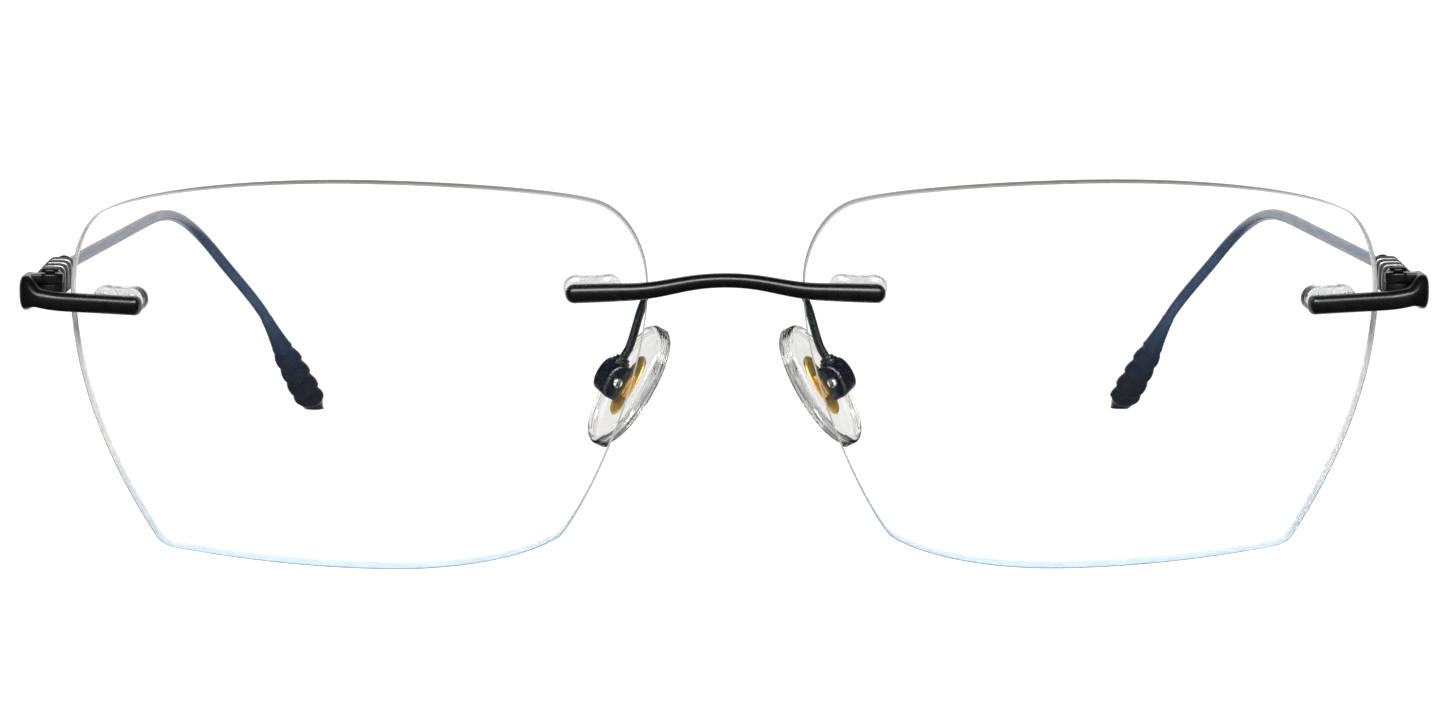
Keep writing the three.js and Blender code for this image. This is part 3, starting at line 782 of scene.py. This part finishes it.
HINGE_X = 68.15
HINGE_Y = 8.9
HINGE_Z = ENDPIECE_PLACE.translation.z + 0.8
HINGE_HEIGHT = 3.5
HINGE_LOW = HINGE_Z - HINGE_HEIGHT / 2
HINGE_HIGH = HINGE_Z + HINGE_HEIGHT / 2
KNUCKLE_INSET = 0.06
KNUCKLE_RADIUS = 1.35
MIDDLE_KNUCKLE = 1.3
CHEEK_THICKNESS = 1.45
CHEEK_X = HINGE_X + KNUCKLE_RADIUS + SLACK + CHEEK_THICKNESS / 2
CHEEK_LEAD = 2
CHEEK_HANDLE = Vector((0, 1.9, 0))
ARM_END_X = -3.6
ELBOW_X = 4.5
ELBOW_HANDLE = 2.8
WEB_FRONT = 1.13
WEB_BACK = 1.07
SHANK_RADIUS = 0.5
HEAD_RADIUS = 0.9
HEAD_CROWN = 0.25
DRIVER_SLOT_HALF = 0.15


def upright_rod(name, radius, low, high, edge, x, y):
    """A rounded rod along Z at a place in the lens-apex frame."""
    rod = moved(rounded_rod(name, radius, low, high, edge), STAND)
    return moved(rod, Matrix.Translation(spot(x, y, 0)))


def endpiece():
    """An arm along the lens that wraps back into a cheek, with two knuckles on its inner side."""
    inner = ENDPIECE_PLACE @ Vector((ARM_END_X, BAR_CENTRE, 0))
    elbow = ENDPIECE_PLACE @ Vector((ELBOW_X, BAR_CENTRE, 0))
    leave = elbow + seat_direction(ENDPIECE_PLACE) * ELBOW_HANDLE
    cheek_start = spot(CHEEK_X, HINGE_Y - CHEEK_LEAD, HINGE_Z)
    cheek_end = spot(CHEEK_X, HINGE_Y + KNUCKLE_RADIUS, HINGE_Z)
    path = Path(dense_path([
        (inner, elbow),
        (elbow, leave, cheek_start - CHEEK_HANDLE, cheek_start),
        (cheek_start, cheek_end),
    ]))

    def half_at(part):
        grow = smoothstep(part, 0.64, 0.77)
        return mix(BAR_DEPTH, CHEEK_THICKNESS, grow) / 2, mix(BAR_END_HEIGHT, HINGE_HEIGHT, grow) / 2

    parts = [sweep("arm", path_rings(path, 120, half_at, 0.6, 2.7, 8), 48)]
    gap = MIDDLE_KNUCKLE / 2 + SLACK
    lower = (HINGE_LOW + KNUCKLE_INSET, HINGE_Z - gap)
    upper = (HINGE_Z + gap, HINGE_HIGH - KNUCKLE_INSET)
    for low, high in (lower, upper):
        parts.append(upright_rod("knuckle", KNUCKLE_RADIUS, low, high, 0.14, HINGE_X, HINGE_Y))
        web_low = spot(HINGE_X, HINGE_Y - WEB_FRONT, low + 0.02)
        web_high = spot(CHEEK_X - 0.2, HINGE_Y + WEB_BACK, high - 0.02)
        parts.append(soften(brick("web", web_low, web_high), 0.12))
    return join_shells("endpiece", parts)


def hinge_screw():
    """A shank through the knuckles with a slotted, slightly domed head on top."""
    foot, top, rim = HINGE_LOW, HINGE_HIGH, HINGE_HIGH + 0.3
    profile = [(0, foot + 0.1), (SHANK_RADIUS - 0.1, foot + 0.1), (SHANK_RADIUS, foot + 0.2)]
    profile += [(SHANK_RADIUS, top + 0.06), (HEAD_RADIUS - 0.05, top + 0.06)]
    profile += [(HEAD_RADIUS, top + 0.12), (HEAD_RADIUS, rim)]
    for k in range(1, 6):
        angle = math.pi / 2 * k / 6
        profile.append((HEAD_RADIUS * math.cos(angle), rim + HEAD_CROWN * math.sin(angle)))
    profile.append((0, rim + HEAD_CROWN))
    screw = moved(lathe("screw", profile), STAND)
    slot = brick("slot", (-1.2, -DRIVER_SLOT_HALF, top + 0.34), (1.2, DRIVER_SLOT_HALF, top + 1))
    boolean(screw, [slot], "DIFFERENCE")
    tidy_mesh(screw)
    return moved(screw, Matrix.Translation(spot(HINGE_X, HINGE_Y, 0)))


install_pair("endpiece", endpiece(), "front", "black_metal", BLACK)
install_pair("hinge_screw", hinge_screw(), "front", "black_metal", BLACK)


# ---------------------------------------------------------------- temples

RIB_COUNT = 5
RIB_PITCH = 1.7
RIB_WIDTH = 2.7
RIB_HEIGHT = 3.1
RIB_GROWTH = 0.06
RIB_LIFT = 0.2
RIB_GROOVE = 0.38
RIB_SLOPE = 0.075
RIB_RISE = (0.0, 0.2)
RIB_FALL = (1.12, 1.32)
GROOVE_BELOW = 0.75
NECK_WIDTH = 1.9
WIRE_ABOVE_RIBS = 0.55
WIRE_RADIUS = 0.62
WIRE_END_RADIUS = 0.66
WIRE_IN_TIP = 6
BEND_START = spot(65.3, 72, 29)
BEND_START_HANDLE = 16
BEND_END = spot(60.4, 109.5, 21.3)
BEND_END_HANDLE = 11
TIP_HANDLE = 3.5
TIP_START = spot(55.6, 119.4, 12.8)
TIP_END = spot(50.7, 132.2, 0)
RIB_START = spot(HINGE_X + 0.45, HINGE_Y + KNUCKLE_RADIUS + 0.1, HINGE_Z + RIB_LIFT)

rib_line = (BEND_START - RIB_START) * Vector((1, 1, 0))
rib_line.normalize()
rib_line.z = RIB_SLOPE
rib_line.normalize()
RIBBED_LENGTH = RIB_COUNT * RIB_PITCH + 1.2
wire_start = RIB_START + rib_line * (RIBBED_LENGTH - 3) + Vector((0, 0, WIRE_ABOVE_RIBS))
temple_line = (BEND_START - wire_start).normalized()
tip_line = (TIP_END - TIP_START).normalized()


def rib_profile(distance):
    """How far the ribbed block stands out at a distance, from 0 in a groove to 1 on a rib."""
    within = distance % RIB_PITCH
    return smoothstep(within, *RIB_RISE) * (1 - smoothstep(within, *RIB_FALL))


def temple_front():
    """A ribbed block that tapers into the wire, with the hinge's middle knuckle at its front.

    The faces in a groove take the second material, whose lighter grey is a painted reflection.
    """
    rings = []
    steps = 170
    ribs_end = RIB_COUNT * RIB_PITCH
    for k in range(steps + 1):
        distance = RIBBED_LENGTH * k / steps
        height = RIB_HEIGHT + RIB_GROWTH * min(RIB_COUNT - 1, int(distance / RIB_PITCH))
        stand = rib_profile(max(distance, RIB_RISE[1])) if distance < ribs_end else 0
        groove = 2 * RIB_GROOVE * (1 - stand)
        taper = smoothstep(distance, ribs_end, RIBBED_LENGTH)
        width = mix(RIB_WIDTH - groove, NECK_WIDTH, taper)
        tall = mix(height - groove, NECK_WIDTH, taper)
        centre = RIB_START + rib_line * distance + Vector((0, 0, (WIRE_ABOVE_RIBS + 0.02) * taper))
        rings.append((centre, rib_line, width / 2, tall / 2, mix(4.2, 2, taper)))
    low, high = HINGE_Z - MIDDLE_KNUCKLE / 2, HINGE_Z + MIDDLE_KNUCKLE / 2
    sides = 56
    block = sweep("ribs", rings, sides, 50)
    for face in block.data.polygons[:steps * sides]:
        distance = RIBBED_LENGTH * (face.index // sides + 0.5) / steps
        stand = rib_profile(max(distance, RIB_RISE[1]))
        in_groove = distance < ribs_end and stand < GROOVE_BELOW
        face.material_index = 1 if in_groove else 0
    knuckle = upright_rod("knuckle", KNUCKLE_RADIUS - SLACK, low, high, 0.12, HINGE_X, HINGE_Y)
    neck_low = spot(HINGE_X - 0.7, HINGE_Y + 0.2, low)
    neck_high = spot(HINGE_X + 1.1, HINGE_Y + KNUCKLE_RADIUS + 0.7, high)
    neck = soften(brick("neck", neck_low, neck_high), 0.1)
    return join_shells("temple_front", [block, knuckle, neck], 50)


def temple_wire():
    """Straight back from the ribs, down behind the ear, and a little way into the tip."""
    wire_end = TIP_START + tip_line * WIRE_IN_TIP
    drop = (TIP_START - BEND_END).normalized()
    after_start = BEND_START + temple_line * BEND_START_HANDLE
    before_end = BEND_END - drop * BEND_END_HANDLE
    before_tip = TIP_START - tip_line * TIP_HANDLE
    path = Path(dense_path([
        (wire_start, BEND_START),
        (BEND_START, after_start, before_end, BEND_END),
        (BEND_END, BEND_END + drop * TIP_HANDLE, before_tip, TIP_START),
        (TIP_START, wire_end),
    ]))

    def half_at(part):
        radius = mix(WIRE_RADIUS, WIRE_END_RADIUS, smoothstep(part, 0.6, 0.9))
        return radius, radius

    return sweep("temple_wire", path_rings(path, 190, half_at, 0.2, 2, 4), 28)


TIP_LENGTH = (TIP_END - TIP_START).length + 3
TIP_STEPS = 230
TIP_CREASE = 60
TIP_START_SIZE = 1.36
TIP_WIDTH = 3.1
TIP_SWELL = 0.4
TIP_THICKNESS = 2.6
TIP_END_WIDTH = 2.0
TIP_END_THICKNESS = 1.4
LOBES = 4
LOBE_PITCH = 2.8
LOBES_TO = TIP_LENGTH - 4.6
LOBES_FROM = LOBES_TO - LOBES * LOBE_PITCH
LOBE_BEND = 0.32
LOBE_STEP = 0.22
LOBE_DEPTH = 0.08


def tip_ring(distance):
    """The tip's ring at a distance: it flares from the wire, swells, and narrows to its foot."""
    width = mix(TIP_START_SIZE, TIP_WIDTH, smoothstep(distance, -0.5, 10))
    width += TIP_SWELL * smoothstep(distance, 9, 15)
    thick = mix(TIP_START_SIZE, TIP_THICKNESS, smoothstep(distance, -0.5, 12))
    end = smoothstep(distance, LOBES_TO - 1.4, TIP_LENGTH - 2.2)
    width = mix(width, TIP_END_WIDTH, end)
    thick = mix(thick, TIP_END_THICKNESS, end)
    return TIP_START + tip_line * distance, tip_line, width / 2, thick / 2, 2.3


def lobe_factor(distance, angle):
    """The radius factor of the lobes: each swells, then steps back, first at the sides."""
    side = abs(math.cos(angle))
    within = ((distance - LOBES_FROM) / LOBE_PITCH - LOBE_BEND * (1 - side)) % 1
    scale = smoothstep(within, 0, 0.72) * (1 - smoothstep(within, 0.88, 1))
    lobed = smoothstep(distance, LOBES_FROM - 0.5, LOBES_FROM + 0.4)
    lobed *= 1 - smoothstep(distance, LOBES_TO - 0.9, LOBES_TO)
    return 1 + lobed * (LOBE_STEP * scale - LOBE_DEPTH) * mix(0.6, 1.0, side)


def temple_tip():
    """A flaring paddle whose sides step out in scale-like lobes; its foot is flat on the ground."""
    first = 0.05
    places = [first + (TIP_LENGTH - first) * k / TIP_STEPS for k in range(TIP_STEPS + 1)]
    rings = [tip_ring(distance) for distance in places]
    tip = sweep("tip", rings, 72, TIP_CREASE, lambda k, angle: lobe_factor(places[k], angle))
    ground = brick("ground", (0, TIP_END.y - 40, -20), (100, TIP_END.y + 40, 0))
    boolean(tip, [ground], "DIFFERENCE")
    tidy_mesh(tip, TIP_CREASE)
    return tip


# The grooves of the ribbed front take the lighter grey of the painted reflection.
install_pair("temple_front", temple_front(), "temple_{side}", "temple_metal", MATTE_BLACK, GROOVE_PAINTED_REFLECTION)
install_pair("temple_wire", temple_wire(), "temple_{side}", "temple_metal", PLATED)
install_pair("temple_tip", temple_tip(), "temple_{side}", "tip_resin", TIP)


# ---------------------------------------------------------------- nose pads

PAD_CENTRE = spot(9.65, 10, 17.9)
PAD_LENGTH = 13.4
PAD_WIDTH = 7.5
PAD_THICKNESS = 2.2
PAD_LEAN = math.radians(31)
PAD_SPLAY = Vector((-1, 0.47, 0))
PAD_PIVOT = 2.55
PAD_ARM_RADIUS = 0.43
PAD_SHANK = 0.35
BOX_TOP = 1.85
BOX_HALF_WIDTH = 1.45
BOX_FRONT = -PAD_THICKNESS / 2 - 0.4
BOX_BACK = BOX_FRONT - 2.2
TONGUE_HALF = 0.35
TONGUE_HEIGHT = 0.8
CORE_HALF_X = 1.6
CORE_HALF_Z = 3.25
CORE_FACE = 0.15
CORE_BACK = -0.46
WINDOW_Y = -0.34
PAD_CROWN = 1.24
PAD_SEAMS = 5
PAD_FIRST_SEAM = 0.34
PAD_SEAM_PITCH = 0.21
SCREW_HEAD = 0.53
SCREW_SLOT_TURN = math.radians(35)
ARM_START_X = 6.92
ARM_REACH = Vector((0, 3.2, -0.2))
ARM_LEAVE = Vector((1.6, 2.8, -0.3))
ARM_ARRIVE = Vector((-1, 0, 2.5))


def pad_place():
    """Local Y leaves the pad's face towards the nose, local Z runs up its length."""
    up = Vector((-math.sin(PAD_LEAN), 0, math.cos(PAD_LEAN)))
    face = (PAD_SPLAY - up * PAD_SPLAY.dot(up)).normalized()
    width = face.cross(up)
    turn = Matrix((width, face, up)).transposed().to_4x4()
    return Matrix.Translation(PAD_CENTRE) @ turn


PAD_PLACE = pad_place()
ON_PIVOT = Matrix.Translation((0, -PAD_PIVOT, 0))


def oval_body(name, half_x, half_z, rows, sides=84):
    """A closed oval body through (inset from the rim, scale, y) rows, from its face to its back."""
    verts = [Vector((0, rows[0][2], 0))]
    inner = rows[1:-1]
    for inset, scale, y in inner:
        for i in range(sides):
            angle = 2 * math.pi * i / sides
            x = (half_x - inset) * scale * math.cos(angle)
            z = (half_z - inset) * scale * math.sin(angle)
            verts.append(Vector((x, y, z)))
    verts.append(Vector((0, rows[-1][2], 0)))
    return new_object(name, verts, poled_faces(len(inner), sides), 40)


def nose_pad():
    """A soft cushion with seams round its side, a rolled rim at its back and a flat window inside."""
    rows = [(0, 0, PAD_CROWN)]
    rows += [(0.6, k / 8, PAD_CROWN - 0.3 * (k / 8) ** 2.4) for k in range(1, 9)]
    rows += [(0.42, 1, 0.86), (0.27, 1, 0.76), (0.14, 1, 0.63), (0.05, 1, 0.5)]
    for k in range(PAD_SEAMS):
        seam = PAD_FIRST_SEAM - PAD_SEAM_PITCH * k
        rows += [(0, 1, seam + 0.09), (0.03, 1, seam + 0.03), (0.1, 1, seam), (0.03, 1, seam - 0.03)]
    rows += [(0, 1, -0.6), (0.05, 1, -0.72)]
    rows += [(0.14, 1, -0.86), (0.28, 1, -1.0), (0.44, 1, -1.05), (0.6, 1, -1.0), (0.7, 1, -0.88)]
    rows += [(0.74, 1, -0.7), (0.78, 1, -0.5), (0.88, 1, WINDOW_Y)]
    rows += [(0.88, scale, WINDOW_Y) for scale in (0.9, 0.7, 0.4)]
    rows.append((0, 0, WINDOW_Y))
    pad = oval_body("pad", PAD_WIDTH / 2, PAD_LENGTH / 2, rows)
    pocket = oval_body("pocket", CORE_HALF_X + SLACK, CORE_HALF_Z + SLACK, core_rows(SLACK), 56)
    boolean(pad, [pocket], "DIFFERENCE")
    tidy_mesh(pad, 40)
    return moved(pad, PAD_PLACE)


def core_rows(grow):
    """The core's oval plate from its face to its back, grown by an allowance."""
    high, low = CORE_FACE + grow, CORE_BACK - grow
    rows = [(0, 0, high), (0.2, 1, high), (0.06, 1, high - 0.05), (0, 1, high - 0.16)]
    rows += [(0, 1, low + 0.12), (0.05, 1, low + 0.04), (0.16, 1, low), (0.3, 1, low + 0.02)]
    rows += [(0.42, 1, low + 0.09), (0.55, 1, low + 0.1), (0, 0, low + 0.1)]
    return rows


def across_rod(name, radius, low, high, edge):
    """A rounded rod along the pad's width, on the axis of the pad screw."""
    return moved(moved(rounded_rod(name, radius, low, high, edge), LIE_ACROSS), ON_PIVOT)


def pad_core():
    """A gold oval with a rolled border, and a stepped tongue with the eye of the pad screw."""
    plate = oval_body("plate", CORE_HALF_X, CORE_HALF_Z, core_rows(0), 72)
    inside = CORE_BACK + 0.2
    tongue_low = (-TONGUE_HALF, -PAD_PIVOT, -TONGUE_HEIGHT)
    tongue_high = (TONGUE_HALF, inside, TONGUE_HEIGHT)
    tongue = soften(brick("tongue", tongue_low, tongue_high), 0.06)
    base = soften(brick("base", (-0.75, CORE_BACK - 0.25, -1.15), (0.75, inside, 1.15)), 0.12)
    step = soften(brick("step", (-0.55, CORE_BACK - 0.5, -0.98), (0.55, inside, 0.98)), 0.08)
    eye = across_rod("eye", TONGUE_HEIGHT, -TONGUE_HALF, TONGUE_HALF, 0.08)
    hole = across_rod("hole", PAD_SHANK + SLACK, -2, 2, 0.05)
    boolean(tongue, [eye], "UNION")
    boolean(tongue, [hole], "DIFFERENCE")
    return moved(join_shells("core", [plate, tongue, base, step], 40), PAD_PLACE)


def pad_box():
    """A box domed on the side away from the pad, slotted for the tongue, with a stepped collar."""
    wall_end = Vector((BOX_TOP, BOX_BACK + 1.1))
    crown = Vector((0, BOX_BACK))
    handles = Vector((BOX_TOP, BOX_BACK + 0.3)), Vector((BOX_TOP - 0.9, BOX_BACK))
    outline = [Vector((-BOX_TOP, BOX_FRONT)), Vector((BOX_TOP, BOX_FRONT)), wall_end]
    outline += [cubic(wall_end, *handles, crown, k / 12) for k in range(1, 13)]
    outline += [Vector((-p.x, p.y)) for p in reversed(outline[2:-1])]
    count = len(outline)
    verts = [Vector((x, p.y, p.x)) for x in (-BOX_HALF_WIDTH, BOX_HALF_WIDTH) for p in outline]
    faces = [tuple(range(count)), tuple(reversed(range(count, 2 * count)))]
    faces += [(i, i + count, (i + 1) % count + count, (i + 1) % count) for i in range(count)]
    body = soften(new_object("box", verts, faces), 0.38, 5, 50)
    slot_half = TONGUE_HALF + 0.07
    slot = brick("slot", (-slot_half, BOX_BACK + 0.25, -1.25), (slot_half, 1, 1.25))
    boolean(body, [slot], "DIFFERENCE")
    tidy_mesh(body, 35)
    collars = []
    for radius, low, high in ((0.95, BOX_TOP - 0.3, BOX_TOP + 0.22), (0.74, BOX_TOP, BOX_TOP + 0.55)):
        collar = moved(rounded_rod("collar", radius, low, high, 0.12), STAND)
        collars.append(moved(collar, ON_PIVOT))
    return moved(join_shells("pad_box", [body] + collars, 35), PAD_PLACE)


def pad_screw():
    """A screw through the box and the tongue, with its slotted head facing the front."""
    head, stop = -BOX_HALF_WIDTH - SLACK, BOX_HALF_WIDTH - 0.12
    profile = [(0, head - 0.4), (0.18, head - 0.39), (0.36, head - 0.33), (0.48, head - 0.22)]
    profile += [(SCREW_HEAD, head - 0.1), (SCREW_HEAD, head), (PAD_SHANK, head)]
    profile += [(PAD_SHANK, stop - 0.08), (PAD_SHANK - 0.08, stop), (0, stop)]
    screw = moved(lathe("screw", profile), LIE_ACROSS)
    slot = brick("slot", (head - 1, -0.1, -1), (head - 0.18, 0.1, 1))
    moved(slot, Matrix.Rotation(SCREW_SLOT_TURN, 4, "X"))
    boolean(screw, [slot], "DIFFERENCE")
    tidy_mesh(screw)
    return moved(moved(screw, ON_PIVOT), PAD_PLACE)


def pad_arm():
    """From behind the bridge bar, back and down past the lens's edge into the box's collar."""
    start = BRIDGE_PLACE @ Vector((-6, -SLACK, -0.1))
    start.x = ARM_START_X
    start.y += 0.4
    end = PAD_PLACE @ Vector((0, -PAD_PIVOT, BOX_TOP + 0.15))
    above = PAD_PLACE @ Vector((0, -PAD_PIVOT, BOX_TOP + 1.6))
    behind = start + ARM_REACH
    path = Path(dense_path([
        (start, behind),
        (behind, behind + ARM_LEAVE, above + ARM_ARRIVE, above),
        (above, end),
    ]))
    rings = path_rings(path, 80, lambda part: (PAD_ARM_RADIUS, PAD_ARM_RADIUS), 0.1, 2, 3)
    return sweep("pad_arm", rings, 28)


install_pair("pad_arm", pad_arm(), "front", "black_metal", BLACK)
install_pair("pad_box", pad_box(), "front", "black_metal", BLACK)
install_pair("pad_screw", pad_screw(), "front", "silver_metal", SILVER)
install_pair("pad_core", pad_core(), "pad_{side}", "gold_metal", GOLD)
install_pair("nose_pad", nose_pad(), "pad_{side}", "silicone", SILICONE)


# ---------------------------------------------------------------- stage, light and camera

FLOOR_HALF = 2500
FLOOR_DROP = 0.05
# The softbox is placed and sized in metres.
SOFTBOX_AT = Vector((0, -0.85, 0.56))
SOFTBOX_AIM = Vector((0, -0.05, 0.02))
SOFTBOX_SIZE = (1.6, 0.28)
SOFTBOX_WATTS = 22
# The camera's place is in the lens-apex frame, like the CAD dimensions.
CAMERA_LENS = 125.2
CAMERA_SPOT = (-3.9, -496.8, 80)
CAMERA_DOWN = math.radians(6.71)
CAMERA_ASIDE = math.radians(-0.416)


def pale_floor():
    """An even white sheet that glows softly, like a lightbox under the glasses."""
    half = FLOOR_HALF
    corners = [(-half, -half, 0), (half, -half, 0), (half, half, 0), (-half, half, 0)]
    floor = new_object("pale_floor", corners, [(0, 1, 2, 3)])
    m = Nodes("pale_floor")
    m.tint(m.noise(3, 2), (0.06, 0.06, 0.06), (0.08, 0.08, 0.08))
    m.set(Emission_Color=(1, 1, 1, 1), Emission_Strength=1.0)
    floor.data.materials.append(m.material)
    floor.location.z = -FLOOR_DROP * MM
    floor.visible_glossy = False


def sky_ramp(tree, direction, dark_to, white_from, darkness):
    """A background that is white towards the back of the scene and darker elsewhere."""
    ramp = tree.nodes.new("ShaderNodeValToRGB")
    ramp.color_ramp.elements[0].position = dark_to
    ramp.color_ramp.elements[0].color = (darkness, darkness, darkness, 1)
    ramp.color_ramp.elements[1].position = white_from
    ramp.color_ramp.elements[1].color = (1, 1, 1, 1)
    background = tree.nodes.new("ShaderNodeBackground")
    tree.links.new(direction, ramp.inputs["Fac"])
    tree.links.new(ramp.outputs["Color"], background.inputs["Color"])
    return background.outputs[0]


def studio_world():
    """White where the camera looks. Mirrored light sees a white screen behind the glasses and a
    dark room elsewhere; light through the clear pieces sees a wider screen and a grey room.
    """
    world = bpy.data.worlds.new("studio")
    bpy.context.scene.world = world
    world.use_nodes = True
    tree = world.node_tree
    tree.nodes.clear()
    place = tree.nodes.new("ShaderNodeTexCoord")
    split = tree.nodes.new("ShaderNodeSeparateXYZ")
    rays = tree.nodes.new("ShaderNodeLightPath")
    output = tree.nodes.new("ShaderNodeOutputWorld")
    plain = tree.nodes.new("ShaderNodeBackground")
    plain.inputs["Color"].default_value = (1, 1, 1, 1)
    tree.links.new(place.outputs["Generated"], split.inputs[0])
    mirrored = sky_ramp(tree, split.outputs["Y"], 0.72, 0.93, 0.025)
    through = sky_ramp(tree, split.outputs["Y"], 0.3, 0.9, 0.08)
    shader = mirrored
    for ray, background in (("Is Transmission Ray", through), ("Is Camera Ray", plain.outputs[0])):
        blend = tree.nodes.new("ShaderNodeMixShader")
        tree.links.new(rays.outputs[ray], blend.inputs["Fac"])
        tree.links.new(shader, blend.inputs[1])
        tree.links.new(background, blend.inputs[2])
        shader = blend.outputs[0]
    tree.links.new(shader, output.inputs["Surface"])


def softbox():
    """A long strip above and in front, which draws the bright line along the bars."""
    data = bpy.data.lights.new("front_strip", "AREA")
    data.shape = "RECTANGLE"
    data.size, data.size_y = SOFTBOX_SIZE
    data.energy = SOFTBOX_WATTS
    lamp = bpy.data.objects.new("front_strip", data)
    lamp.location = SOFTBOX_AT
    lamp.rotation_euler = (SOFTBOX_AIM - SOFTBOX_AT).to_track_quat("-Z", "Y").to_euler()
    bpy.context.scene.collection.objects.link(lamp)


def camera():
    """The photograph's view: half a metre in front, a little above, aimed slightly down."""
    data = bpy.data.cameras.new("camera")
    data.sensor_width = 36
    data.lens = CAMERA_LENS
    data.clip_start = 0.01
    data.clip_end = 50
    cam = bpy.data.objects.new("camera", data)
    cam.location = spot(*CAMERA_SPOT) * MM
    cam.rotation_euler = (math.pi / 2 - CAMERA_DOWN, 0, CAMERA_ASIDE)
    bpy.context.scene.collection.objects.link(cam)
    bpy.context.scene.camera = cam


pale_floor()
studio_world()
softbox()
camera()
bpy.context.scene.view_settings.view_transform = "Standard"
